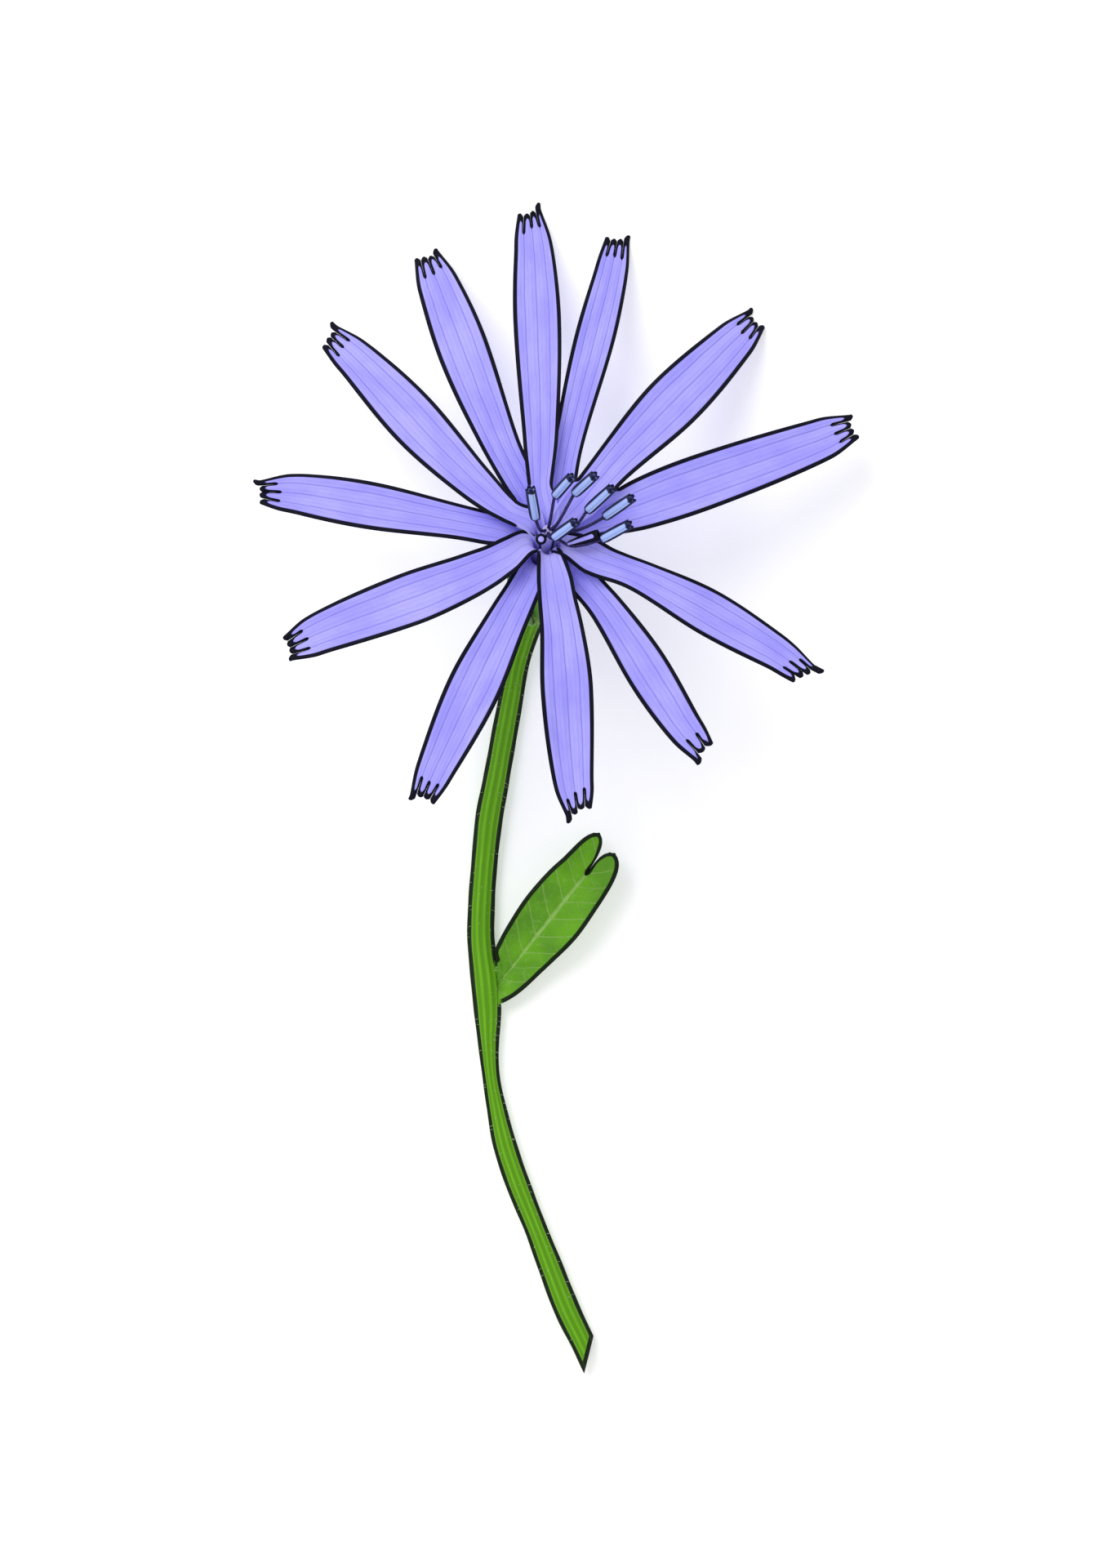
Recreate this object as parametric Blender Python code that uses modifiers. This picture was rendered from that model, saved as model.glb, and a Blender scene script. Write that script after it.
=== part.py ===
"""A cut chicory flower: a head of twelve ray florets on a bent stalk with one leaf.

The head faces up and leans away from the stalk, which lies along the surface. The front florets reach
down to the surface and prop the head there. The plan, seen from above with +Y away from the cut end, is
the flower's outline. Lengths are in millimetres and angles in degrees until a mesh is made.
"""

import math
from typing import NamedTuple

import bmesh
import bpy
from mathutils import Matrix, Vector

MM = 0.001
SHARP_ANGLE = math.radians(50.0)

# The mouth of the involucre, from which the head is set out, the way the florets' face leans, and the way
# the head's own axis leans
MOUTH = Vector((-0.65, 16.0, 12.3))
LEAN_TILT = 25.0
LEAN_AZIMUTH = 73.0
AXIS_AZIMUTH = 84.0

# The point in plan that the florets point at
HEART = Vector((-0.5, 16.45))

BLADE_THICKNESS = 0.6
CHANNEL_DEPTH = 0.25
FLORET_COLOUR = (0.38, 0.35, 0.96, 1.0)
FLORET_ROUGHNESS = 0.6

# A floret's claw rises from the mouth and bends out over the rim: distance from the axis, height above the
# mouth and width. The inner claws pass over the outer ones.
OUTER_CLAW = ((1.6, -2.1, 0.62), (1.6, -0.9, 0.62), (1.75, -0.15, 0.66), (2.25, 0.4, 0.85))
INNER_CLAW = ((0.85, -2.1, 0.42), (0.85, 0.2, 0.42), (1.0, 0.95, 0.5), (1.55, 1.45, 0.75))
OUTER_CREST = 0.75
INNER_CREST = 1.85
INNER_DESCENT_START = 8.5
INNER_DESCENT_END = 15.0
DROOP_START = 4.0
DROOP_POWER = 1.8

# Where the limb's rows lie, as shares of the floret's length, and how wide each whorl is at the first one
LIMB_ROWS = (0.16, 0.26, 0.38, 0.50, 0.62, 0.74, 0.86)
OUTER_START_WIDTH = 1.4
INNER_START_WIDTH = 2.0
SHOULDER = 0.9
SLIT_DEPTH = 1.3
SLIT_FOOT = 0.3
EDGE_TOOTH_STEP = 0.23
MIDDLE_TOOTH_STEP = 0.12


class Ray(NamedTuple):
    """One ray floret in plan. Bows are to the left of the line from the heart to the tip, seen outwards."""

    azimuth: float
    length: float
    base_width: float
    width: float
    widest: float
    shoulder_width: float
    end_width: float
    slant: float
    near_bow: float
    far_bow: float
    droop: float
    teeth: int = 4


# Clockwise from the top; every other one belongs to the inner whorl, the first included
RAYS = (
    Ray(93.3, 22.35, 2.26, 3.12, 0.66, 2.45, 1.42, 0.70, 0.10, -0.14, 3.4),
    Ray(77.1, 20.95, 1.96, 2.62, 0.66, 2.15, 1.52, 0.45, 0.16, -0.08, 3.2),
    Ray(46.9, 20.55, 2.56, 3.77, 0.61, 2.75, 1.52, -0.35, 0.30, 0.08, 4.3),
    Ray(20.4, 21.95, 3.36, 3.72, 0.52, 2.8, 1.62, -0.10, 0.06, -0.07, 2.4),
    Ray(-27.7, 19.65, 2.06, 3.02, 0.60, 2.25, 1.62, -1.50, 0.67, 0.42, 2.0),
    Ray(-54.0, 17.75, 2.16, 2.97, 0.62, 2.35, 1.62, 0.60, 0.42, -0.05, 1.4, 3),
    Ray(-83.8, 18.55, 2.76, 3.42, 0.55, 2.55, 1.62, 0.85, 0.24, -0.10, 2.4),
    Ray(-115.9, 19.45, 2.66, 3.52, 0.58, 2.45, 1.62, 0.45, -0.15, -0.10, 2.8),
    Ray(-157.2, 18.95, 2.96, 3.52, 0.54, 2.65, 1.62, -0.20, 0.20, -0.12, 1.8),
    Ray(170.6, 19.75, 2.26, 3.12, 0.63, 2.50, 1.42, 0.70, -0.20, -0.28, 2.2),
    Ray(137.0, 20.25, 2.46, 3.52, 0.60, 2.55, 1.62, 0.75, 0.56, -0.03, 3.0),
    Ray(113.2, 20.95, 2.36, 3.42, 0.66, 2.75, 1.62, 0.10, 0.43, 0.08, 5.3),
)

# The involucre's cup, from its foot on the axis round to the floor of its bowl: radius and height
CUP_PROFILE = (
    (0.0, -9.5),
    (0.95, -9.5),
    (1.35, -9.0),
    (1.6, -8.0),
    (1.7, -6.5),
    (1.7, -4.4),
    (2.3, -2.8),
    (2.45, -0.6),
    (2.15, -0.6),
    (2.1, -2.4),
    (0.0, -2.4),
)
CUP_STEPS = 24
INNER_BRACTS = 8
OUTER_BRACTS = 5
OUTER_BRACT_TURN = 11.0
BRACT_COLUMNS = 4
INVOLUCRE_COLOUR = (0.11, 0.30, 0.03, 1.0)
INVOLUCRE_ROUGHNESS = 0.6

# Height, distance from the axis and width along a bract
INNER_BRACT = (
    (-9.2, 1.25, 0.8),
    (-8.0, 1.7, 1.25),
    (-6.3, 1.85, 1.45),
    (-4.5, 1.85, 1.45),
    (-2.9, 2.35, 1.75),
    (-1.5, 2.45, 1.5),
    (-0.3, 2.65, 0.5),
)
OUTER_BRACT = (
    (-9.3, 1.35, 0.9),
    (-8.3, 1.95, 1.7),
    (-7.0, 2.15, 1.95),
    (-5.8, 2.2, 1.6),
    (-4.6, 2.5, 0.6),
)

# The stamens: a hub on the head's axis, then each anther tube's two ends
HUB_PROFILE = ((0.0, -2.1), (0.36, -2.1), (0.36, 2.4), (0.2, 2.6), (0.0, 2.6))
HUB_TOP = 2.6
HUB_STEPS = 10
STALK_ROOT = 2.0
STALK_RADIUS = 0.2
STALK_ARCH = Vector((0.0, 0.0, 0.15))
ANTHER_RADIUS = 0.42
ANTHER_SHOULDER = 0.25
ANTHER_TAPER = 0.85
ANTHER_COLOUR = (0.35, 0.52, 0.98, 1.0)
ANTHER_ROUGHNESS = 0.55
ANTHERS = (
    (Vector((-1.35, 17.75, 16.0)), Vector((-1.7, 19.8, 17.9))),
    (Vector((-0.1, 19.3, 15.9)), Vector((1.05, 20.6, 17.5))),
    (Vector((1.2, 19.45, 16.2)), Vector((2.6, 20.7, 17.9))),
    (Vector((2.05, 18.3, 15.9)), Vector((3.75, 19.85, 17.7))),
    (Vector((3.2, 17.9, 15.4)), Vector((5.1, 19.2, 17.0))),
    (Vector((3.0, 16.4, 15.3)), Vector((4.95, 17.45, 16.6))),
    (Vector((-0.2, 16.5, 15.4)), Vector((1.3, 17.6, 16.9))),
)

# One more tube, violet and slim, and a short stalk that ends in a knob
SLIM_TUBE = (Vector((0.75, 16.15, 15.1)), Vector((2.85, 16.85, 15.85)))
SLIM_RADIUS = 0.32
KNOB_STALK = (Vector((-0.85, 16.75, 14.95)), Vector((-0.95, 16.6, 15.05)), Vector((-1.1, 16.25, 15.15)))
KNOB_RADIUS = 0.36

# The stalk's route from the involucre's foot to past its cut end: plan position, height and diameter
STEM_JOINT = -9.8
STEM_TOP_DIAMETER = 1.5
STEM_ROUTE = (
    (-1.6, 11.1, 2.35, 1.5),
    (-2.05, 9.9, 1.5, 1.45),
    (-2.6, 8.1, 0.92, 1.45),
    (-3.0, 6.0, 0.77, 1.54),
    (-3.5, 3.3, 0.87, 1.64),
    (-4.0, 0.5, 1.07, 1.69),
    (-4.5, -2.2, 1.07, 1.74),
    (-4.8, -5.0, 0.92, 1.69),
    (-5.0, -7.7, 0.85, 1.69),
    (-5.05, -10.4, 0.87, 1.74),
    (-4.75, -13.2, 0.97, 1.89),
    (-4.6, -15.2, 0.97, 1.74),
    (-4.55, -17.3, 0.92, 1.34),
    (-4.4, -19.4, 0.92, 1.09),
    (-4.05, -21.5, 0.97, 1.19),
    (-3.45, -24.2, 1.02, 1.49),
    (-2.55, -26.9, 1.07, 1.54),
    (-1.43, -29.7, 1.07, 1.4),
    (-0.35, -32.5, 0.97, 1.59),
    (0.7, -35.2, 0.87, 1.69),
    (1.85, -37.6, 0.8, 1.55),
    (3.05, -40.2, 0.8, 1.55),
)
STEM_POINTS_PER_SPAN = 2
STEM_CUT_POINT = Vector((2.08, -38.9))
STEM_CUT_AZIMUTH = 76.0
KNIFE_SIZE = 6.0
STEM_COLOUR = (0.117, 0.309, 0.023, 1.0)
STEM_ROUGHNESS = 0.5

# The leaf along its midrib: plan position, height and width, and the depth of the notch in its tip
LEAF_MIDRIB = (
    (-3.3, -13.05, 1.15, 2.5),
    (-2.8, -12.15, 1.4, 3.3),
    (-1.8, -10.75, 1.9, 3.9),
    (-0.33, -9.05, 2.35, 4.2),
    (1.07, -7.3, 2.45, 4.1),
    (2.25, -5.8, 2.3, 3.6),
    (3.25, -4.2, 2.0, 2.8),
)
LEAF_BASE_AZIMUTH = 95.0
LEAF_COLUMNS = 6
LEAF_WIDTH = 4.2
LEAF_CHANNEL_DEPTH = 0.45
LEAF_NOTCH_DEPTH = 2.0
LEAF_LOBE_CORNER = 1.0
LEAF_COLOUR = (0.117, 0.309, 0.023, 1.0)
LEAF_ROUGHNESS = 0.5

LEAN = Vector((math.cos(math.radians(LEAN_AZIMUTH)), math.sin(math.radians(LEAN_AZIMUTH))))
FACE_SLOPE = math.tan(math.radians(LEAN_TILT))
AXIS_TURN = math.radians(AXIS_AZIMUTH)
HEAD = Matrix.Translation(MOUTH) @ Matrix.Rotation(
    math.radians(LEAN_TILT), 4, Vector((-math.sin(AXIS_TURN), math.cos(AXIS_TURN), 0.0))
)
REST_HEIGHT = BLADE_THICKNESS / 2


def clear_scene():
    for item in list(bpy.data.objects):
        bpy.data.objects.remove(item)


def make_collection(name):
    collection = bpy.data.collections.new(name)
    bpy.context.scene.collection.children.link(collection)
    return collection


def make_material(name, colour, roughness):
    material = bpy.data.materials.new(name)
    material.use_nodes = True
    shader = material.node_tree.nodes["Principled BSDF"]
    shader.inputs["Base Color"].default_value = colour
    shader.inputs["Roughness"].default_value = roughness
    shader.inputs["Metallic"].default_value = 0.0
    return material


def add_object(name, data, collection, material=None):
    item = bpy.data.objects.new(name, data)
    if material is not None:
        data.materials.clear()
        data.materials.append(material)
    collection.objects.link(item)
    return item


def smooth_step(low, high, value):
    share = min(max((value - low) / (high - low), 0.0), 1.0)
    return share * share * (3.0 - 2.0 * share)


def smooth_curve(knots, at):
    """The value at a place on a smooth curve through (place, value) knots."""
    slopes = []
    for i in range(len(knots)):
        before = knots[max(i - 1, 0)]
        after = knots[min(i + 1, len(knots) - 1)]
        slopes.append((after[1] - before[1]) / (after[0] - before[0]))
    i = 0
    while i < len(knots) - 2 and at > knots[i + 1][0]:
        i += 1
    (x0, y0), (x1, y1) = knots[i], knots[i + 1]
    span = x1 - x0
    t = (at - x0) / span
    value = y0 * (1 + 2 * t) * (1 - t) ** 2 + y1 * t * t * (3 - 2 * t)
    return value + span * t * (1 - t) * (slopes[i] * (1 - t) - slopes[i + 1] * t)


def smooth_route(points, steps):
    """Points on a Catmull-Rom curve through the given ones, with so many steps between each pair."""
    ends = [2 * points[0] - points[1], *points, 2 * points[-1] - points[-2]]
    route = []
    for before, start, end, after in zip(ends, ends[1:], ends[2:], ends[3:]):
        for step in range(steps):
            t = step / steps
            route.append(
                0.5
                * (
                    2 * start
                    + (end - before) * t
                    + (2 * before - 5 * start + 4 * end - after) * t**2
                    + (3 * start - before - 3 * end + after) * t**3
                )
            )
    route.append(points[-1])
    return route


def head_point(azimuth, distance, height, across=0.0):
    """A point of the head: out from its axis at an azimuth, along its axis, and across to the left."""
    angle = math.radians(azimuth)
    x = distance * math.cos(angle) - across * math.sin(angle)
    y = distance * math.sin(angle) + across * math.cos(angle)
    return HEAD @ Vector((x, y, height))


def face_height(x, y):
    """The height of the mouth's plane above a point in plan."""
    return MOUTH.z - FACE_SLOPE * ((x - MOUTH.x) * LEAN.x + (y - MOUTH.y) * LEAN.y)


def blade_mesh(name, columns, rows, point):
    """An open sheet in triangles, placed by point(row, across), where across runs from -1 to 1."""
    mesh = bpy.data.meshes.new(name)
    sheet = bmesh.new()
    bmesh.ops.create_grid(sheet, x_segments=columns, y_segments=rows, size=1.0)
    for vertex in sheet.verts:
        column = round((vertex.co.x + 1.0) / 2.0 * columns)
        row = round((vertex.co.y + 1.0) / 2.0 * rows)
        vertex.co = point(row, 2.0 * column / columns - 1.0) * MM
    bmesh.ops.triangulate(sheet, faces=sheet.faces)
    sheet.to_mesh(mesh)
    sheet.free()
    mesh.shade_smooth()
    return mesh


def thicken(item):
    shell = item.modifiers.new("Thickness", "SOLIDIFY")
    shell.thickness = BLADE_THICKNESS * MM
    shell.offset = 0.0


def apply_modifiers(item):
    """Give the object the mesh that its modifiers make, and drop them."""
    depsgraph = bpy.context.evaluated_depsgraph_get()
    mesh = bpy.data.meshes.new_from_object(item.evaluated_get(depsgraph))
    item.modifiers.clear()
    item.data = mesh


def tube_object(name, points, radii, collection, resolution):
    """A closed mesh tube along the points, with a radius at each."""
    curve = bpy.data.curves.new(name, "CURVE")
    curve.dimensions = "3D"
    curve.bevel_depth = max(radii) * MM
    curve.bevel_resolution = resolution
    curve.use_fill_caps = True
    spline = curve.splines.new("POLY")
    spline.points.add(len(points) - 1)
    for target, point, radius in zip(spline.points, points, radii):
        target.co = (*(point * MM), 1.0)
        target.radius = radius / max(radii)
    guide = bpy.data.objects.new(name + "_guide", curve)
    collection.objects.link(guide)
    depsgraph = bpy.context.evaluated_depsgraph_get()
    mesh = bpy.data.meshes.new_from_object(guide.evaluated_get(depsgraph))
    solid = bmesh.new()
    solid.from_mesh(mesh)
    bmesh.ops.remove_doubles(solid, verts=solid.verts, dist=0.001 * MM)
    solid.to_mesh(mesh)
    solid.free()
    mesh.shade_smooth()
    item = add_object(name, mesh, collection)
    item.matrix_world = guide.matrix_world
    bpy.data.objects.remove(guide)
    return item


def fuse(item, repeats):
    """Join an object with every object of a collection into one solid, and remove them."""
    union = item.modifiers.new("Union", "BOOLEAN")
    union.operation = "UNION"
    union.operand_type = "COLLECTION"
    union.collection = repeats
    union.solver = "EXACT"
    apply_modifiers(item)
    for repeat in list(repeats.objects):
        bpy.data.objects.remove(repeat)


def ray_floret(name, ray, inner, collection, material):
    """A narrow claw out of the mouth, then a long limb that ends in teeth."""
    claw = INNER_CLAW if inner else OUTER_CLAW
    columns = 2 * ray.teeth
    outwards = Vector((math.cos(math.radians(ray.azimuth)), math.sin(math.radians(ray.azimuth))))
    left = Vector((-outwards.y, outwards.x))
    slit_row = len(claw) + len(LIMB_ROWS)
    widths = (
        (LIMB_ROWS[0], INNER_START_WIDTH if inner else OUTER_START_WIDTH),
        (0.3, ray.base_width),
        (ray.widest, ray.width),
        (SHOULDER, ray.shoulder_width),
        (1.0, ray.end_width),
    )
    bows = ((0.1, 0.0), (0.35, ray.near_bow), (0.85, ray.far_bow), (1.0, 0.0))

    def limb_point(distance, across):
        share = distance / ray.length
        reach = min(share, 1.0)
        width = smooth_curve(widths, reach)
        sideways = smooth_curve(bows, reach) + across * width / 2
        place = HEART + outwards * distance + left * sideways
        drop = max(distance - DROOP_START, 0.0) / (ray.length - DROOP_START)
        crest = OUTER_CREST
        if inner:
            descent = smooth_step(INNER_DESCENT_START, INNER_DESCENT_END, distance)
            crest = INNER_CREST + (OUTER_CREST - INNER_CREST) * descent
        rise = crest - ray.droop * drop**DROOP_POWER + CHANNEL_DEPTH * across * across * width / ray.width
        return Vector((place.x, place.y, max(face_height(place.x, place.y) + rise, REST_HEIGHT)))

    def point(row, across):
        if row < len(claw):
            distance, height, width = claw[row]
            return head_point(ray.azimuth, distance, height, across * width / 2)
        end = ray.length - ray.slant * across / 2
        slit_end = end - SLIT_DEPTH
        if row < slit_row:
            return limb_point(LIMB_ROWS[row - len(claw)] * ray.length, across)
        if row == slit_row:
            return limb_point(slit_end - SLIT_FOOT, across)
        column = round((across + 1.0) / 2.0 * columns)
        if column in (0, columns):
            return limb_point(end, across)
        if column % 2 == 0:
            return limb_point(slit_end, across)
        step = EDGE_TOOTH_STEP if column in (1, columns - 1) else MIDDLE_TOOTH_STEP
        return limb_point(end - step, across)

    item = add_object(name, blade_mesh(name, columns, slit_row + 1, point), collection, material)
    thicken(item)
    return item


def turned_solid(name, profile, steps, collection):
    """A solid turned from a profile of radius and height about the head's axis."""
    mesh = bpy.data.meshes.new(name)
    outline = bmesh.new()
    corners = [outline.verts.new(Vector((radius, 0.0, height)) * MM) for radius, height in profile]
    for start, end in zip(corners, corners[1:]):
        outline.edges.new((start, end))
    outline.to_mesh(mesh)
    outline.free()
    item = add_object(name, mesh, collection)
    screw = item.modifiers.new("Turn", "SCREW")
    screw.steps = steps
    screw.render_steps = steps
    screw.use_merge_vertices = True
    screw.merge_threshold = 0.00001
    screw.use_normal_calculate = True
    apply_modifiers(item)
    head = HEAD.copy()
    head.translation = HEAD.translation * MM
    item.matrix_world = head
    return item


def bract(name, stations, azimuth, collection):
    """A pointed green scale that lies against the cup."""

    def point(row, across):
        height, distance, width = stations[row]
        turn = math.degrees(across * width / 2 / distance)
        return head_point(azimuth + turn, distance, height)

    item = add_object(name, blade_mesh(name, BRACT_COLUMNS, len(stations) - 1, point), collection)
    thicken(item)
    return item


def involucre(collection, material):
    """A cup of eight inner bracts that lie edge to edge and five shorter outer ones that stand off it."""
    cup = turned_solid("involucre", CUP_PROFILE, CUP_STEPS, collection)
    bracts = make_collection("bracts")
    for i in range(INNER_BRACTS):
        bract(f"inner_bract_{i}", INNER_BRACT, i * 360.0 / INNER_BRACTS, bracts)
    for i in range(OUTER_BRACTS):
        azimuth = OUTER_BRACT_TURN + i * 360.0 / OUTER_BRACTS
        bract(f"outer_bract_{i}", OUTER_BRACT, azimuth, bracts)
    fuse(cup, bracts)
    bpy.data.collections.remove(bracts)
    cup.data.materials.clear()
    cup.data.materials.append(material)
    cup.data.shade_smooth()
    cup.data.set_sharp_from_angle(angle=SHARP_ANGLE)


def stamens(collection, material):
    """Anther tubes on thin stalks that leave the hub in the middle of the head."""
    hub = turned_solid("stamens", HUB_PROFILE, HUB_STEPS, collection)
    tubes = make_collection("anther_tubes")
    root = head_point(0.0, 0.0, STALK_ROOT)
    hub_tip = head_point(0.0, 0.0, HUB_TOP)
    for i, (foot, tip) in enumerate((*ANTHERS, SLIM_TUBE)):
        radius = ANTHER_RADIUS if i < len(ANTHERS) else SLIM_RADIUS
        along = (tip - foot).normalized()
        bend = hub_tip.lerp(foot, 0.5) + STALK_ARCH
        points = [root, hub_tip, bend, foot, foot + along * ANTHER_SHOULDER, tip]
        radii = [STALK_RADIUS] * 4 + [radius, radius * ANTHER_TAPER]
        tube_object(f"anther_tube_{i}", points, radii, tubes, 1)
    radii = [STALK_RADIUS] * 3 + [KNOB_RADIUS, KNOB_RADIUS * ANTHER_TAPER]
    tube_object("knob", [root, hub_tip, *KNOB_STALK], radii, tubes, 1)
    fuse(hub, tubes)
    bpy.data.collections.remove(tubes)
    hub.data.materials.clear()
    hub.data.materials.append(material)
    hub.data.shade_smooth()
    hub.data.set_sharp_from_angle(angle=SHARP_ANGLE)


def stem(collection, cutters, material):
    """The stalk, bent down from the head and then lying along the surface, cut off on a slant."""
    top = head_point(0.0, 0.0, STEM_JOINT)
    route = [Vector((*top, STEM_TOP_DIAMETER))] + [Vector(stop) for stop in STEM_ROUTE]
    stops = smooth_route(route, STEM_POINTS_PER_SPAN)
    points = [stop.to_3d() for stop in stops]
    radii = [stop.w / 2 for stop in stops]
    item = tube_object("stem", points, radii, collection, 2)
    item.data.materials.append(material)

    bpy.ops.mesh.primitive_cube_add(size=KNIFE_SIZE * MM)
    knife = bpy.context.object
    knife.name = "stem_cutter"
    for home in list(knife.users_collection):
        home.objects.unlink(knife)
    cutters.objects.link(knife)
    knife.hide_render = True
    knife.display_type = "WIRE"
    away = math.radians(STEM_CUT_AZIMUTH - 90.0)
    knife.rotation_euler = (0.0, 0.0, away)
    centre = STEM_CUT_POINT + KNIFE_SIZE / 2 * Vector((math.cos(away), math.sin(away)))
    knife.location = Vector((centre.x, centre.y, 0.0)) * MM
    cut = item.modifiers.new("Slanted cut", "BOOLEAN")
    cut.operation = "DIFFERENCE"
    cut.object = knife
    cut.solver = "EXACT"
    item.data.set_sharp_from_angle(angle=SHARP_ANGLE)


def leaf(collection, material):
    """A short blade seated on the side of the stalk, with a notch between the two lobes of its tip."""
    stops = [Vector(stop) for stop in LEAF_MIDRIB]
    rows = len(stops) - 1

    def point(row, across):
        x, y, z, width = stops[row]
        before = stops[max(row - 1, 0)]
        after = stops[min(row + 1, rows)]
        outwards = Vector((after.x - before.x, after.y - before.y)).normalized()
        left = Vector((-outwards.y, outwards.x))
        if row == 0:
            base = math.radians(LEAF_BASE_AZIMUTH)
            left = Vector((math.cos(base), math.sin(base)))
        sunk = 0.0
        if row == rows and across == 0.0:
            sunk = LEAF_NOTCH_DEPTH
        elif row == rows and abs(across) == 1.0:
            sunk = LEAF_LOBE_CORNER
        place = Vector((x, y)) + left * (across * width / 2) - outwards * sunk
        lift = LEAF_CHANNEL_DEPTH * across * across * width / LEAF_WIDTH
        return Vector((place.x, place.y, z + lift))

    item = add_object("leaf", blade_mesh("leaf", LEAF_COLUMNS, rows, point), collection, material)
    thicken(item)


def build():
    clear_scene()
    flower = make_collection("chicory_flower")
    cutters = make_collection("cutters")
    petal = make_material("floret_violet", FLORET_COLOUR, FLORET_ROUGHNESS)
    for i, ray in enumerate(RAYS):
        ray_floret(f"ray_floret_{i + 1:02d}", ray, i % 2 == 0, flower, petal)
    involucre(flower, make_material("involucre_green", INVOLUCRE_COLOUR, INVOLUCRE_ROUGHNESS))
    stamens(flower, make_material("anther_blue", ANTHER_COLOUR, ANTHER_ROUGHNESS))
    stem(flower, cutters, make_material("stem_green", STEM_COLOUR, STEM_ROUGHNESS))
    leaf(flower, make_material("leaf_green", LEAF_COLOUR, LEAF_ROUGHNESS))


build()
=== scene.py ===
"""The looks of a cut chicory flower, lying face up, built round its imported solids.

Lengths are in millimetres and angles in degrees until a mesh is made.
"""

import math
import random
from collections import namedtuple

import bmesh
import bpy
from mathutils import Matrix, Vector, kdtree


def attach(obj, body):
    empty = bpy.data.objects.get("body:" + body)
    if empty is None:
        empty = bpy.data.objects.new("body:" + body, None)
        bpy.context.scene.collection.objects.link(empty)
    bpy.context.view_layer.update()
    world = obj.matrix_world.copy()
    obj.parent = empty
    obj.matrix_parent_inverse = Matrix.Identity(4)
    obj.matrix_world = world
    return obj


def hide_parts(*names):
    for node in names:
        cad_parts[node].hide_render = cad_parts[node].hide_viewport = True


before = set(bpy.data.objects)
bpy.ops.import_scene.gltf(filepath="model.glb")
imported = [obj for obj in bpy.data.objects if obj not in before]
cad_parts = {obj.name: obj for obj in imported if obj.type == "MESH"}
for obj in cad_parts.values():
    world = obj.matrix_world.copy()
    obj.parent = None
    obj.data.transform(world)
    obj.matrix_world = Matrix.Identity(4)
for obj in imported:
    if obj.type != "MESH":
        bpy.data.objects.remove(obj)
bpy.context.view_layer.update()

# The stalk
# A fresh green stem, ribbed along its length, that bends down from the head and then lies on the surface.
# It grew in one piece and was cut off on a slant with a knife, so its pale pith shows at that end.

MM = 0.001
SHARP_ANGLE = 55.0

# The head's own frame: its axis leaves the middle of the involucre's mouth and leans away from the stalk
MOUTH = Vector((-0.65, 16.0, 12.3))
LEAN_TILT = 25.0
AXIS_AZIMUTH = math.radians(84.0)
AXIS_SIDE = Vector((-math.sin(AXIS_AZIMUTH), math.cos(AXIS_AZIMUTH), 0.0))
HEAD = Matrix.Translation(MOUTH) @ Matrix.Rotation(math.radians(LEAN_TILT), 4, AXIS_SIDE)
UP = Vector((0.0, 0.0, 1.0))

# Plan position, height and diameter along the stalk, from inside the involucre's foot to past the cut
STALK_TOP_HEIGHT = -9.0
STALK_TOP_DIAMETER = 1.7
STALK_ROUTE = (
    (-1.6, 11.1, 2.35, 1.5),
    (-2.05, 9.9, 1.5, 1.45),
    (-2.6, 8.1, 0.94, 1.45),
    (-3.0, 6.0, 0.8, 1.52),
    (-3.5, 3.3, 0.87, 1.62),
    (-4.0, 0.5, 1.07, 1.67),
    (-4.5, -2.2, 1.07, 1.72),
    (-4.8, -5.0, 0.92, 1.67),
    (-5.0, -7.7, 0.87, 1.67),
    (-5.05, -10.4, 0.9, 1.72),
    (-4.75, -13.2, 0.98, 1.87),
    (-4.6, -15.2, 0.97, 1.72),
    (-4.55, -17.3, 0.92, 1.32),
    (-4.4, -19.4, 0.92, 1.07),
    (-4.05, -21.5, 0.97, 1.17),
    (-3.45, -24.2, 1.02, 1.47),
    (-2.55, -26.9, 1.07, 1.52),
    (-1.43, -29.7, 1.07, 1.38),
    (-0.35, -32.5, 0.97, 1.57),
    (0.7, -35.2, 0.88, 1.62),
    (1.85, -37.6, 0.82, 1.53),
    (3.05, -40.2, 0.8, 1.53),
)
STALK_STEPS = 12
STALK_SIDES = 96
STALK_RIBS = 10
STALK_RIB_DEPTH = 0.04

# Waves of the thickness: their share of it, radians to a millimetre, and waves round the stalk
STALK_WAVES = ((0.012, 0.9, 0.0), (0.01, 2.3, 3.0))

# A keel runs along each side. The skin is dark over so many radians above and below it.
KEEL_HEIGHT = 0.13
KEEL_SPREAD = 0.16
FLANK_ABOVE = 0.62
FLANK_BELOW = 0.14
FLANK_FADE = 0.06

# The right keel and its dark flank fade over these stretches of Y, above the leaf's seat and below it
LEAF_SEAT_TOP = (-12.2, -11.7)
LEAF_SEAT_FOOT = (-14.5, -15.0)

# The stalk's margin is -1 in a groove and 1 on a rib, and more where the skin is dark
FLANK_MARK = 3.0
CUT_MARK = 4.0

# The slanted cut, the width of the rim that has dried dark there, and the pith, which has shrunk a little
STALK_CUT = Vector((2.08, -38.9, 0.0))
STALK_CUT_AZIMUTH = 76.0
CUT_DRIED = 0.27
CUT_FADE = 0.04
PITH_SHARE = 0.85
PITH_FLOOR_SHARE = 0.97
PITH_SINK = 0.06


def plan_direction(azimuth):
    """The direction in plan at an azimuth."""
    angle = math.radians(azimuth)
    return Vector((math.cos(angle), math.sin(angle)))


def head_point(azimuth, distance, height):
    """A point of the head, so far out from its axis at an azimuth and so far along it."""
    angle = math.radians(azimuth)
    return HEAD @ Vector((distance * math.cos(angle), distance * math.sin(angle), height))


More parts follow.
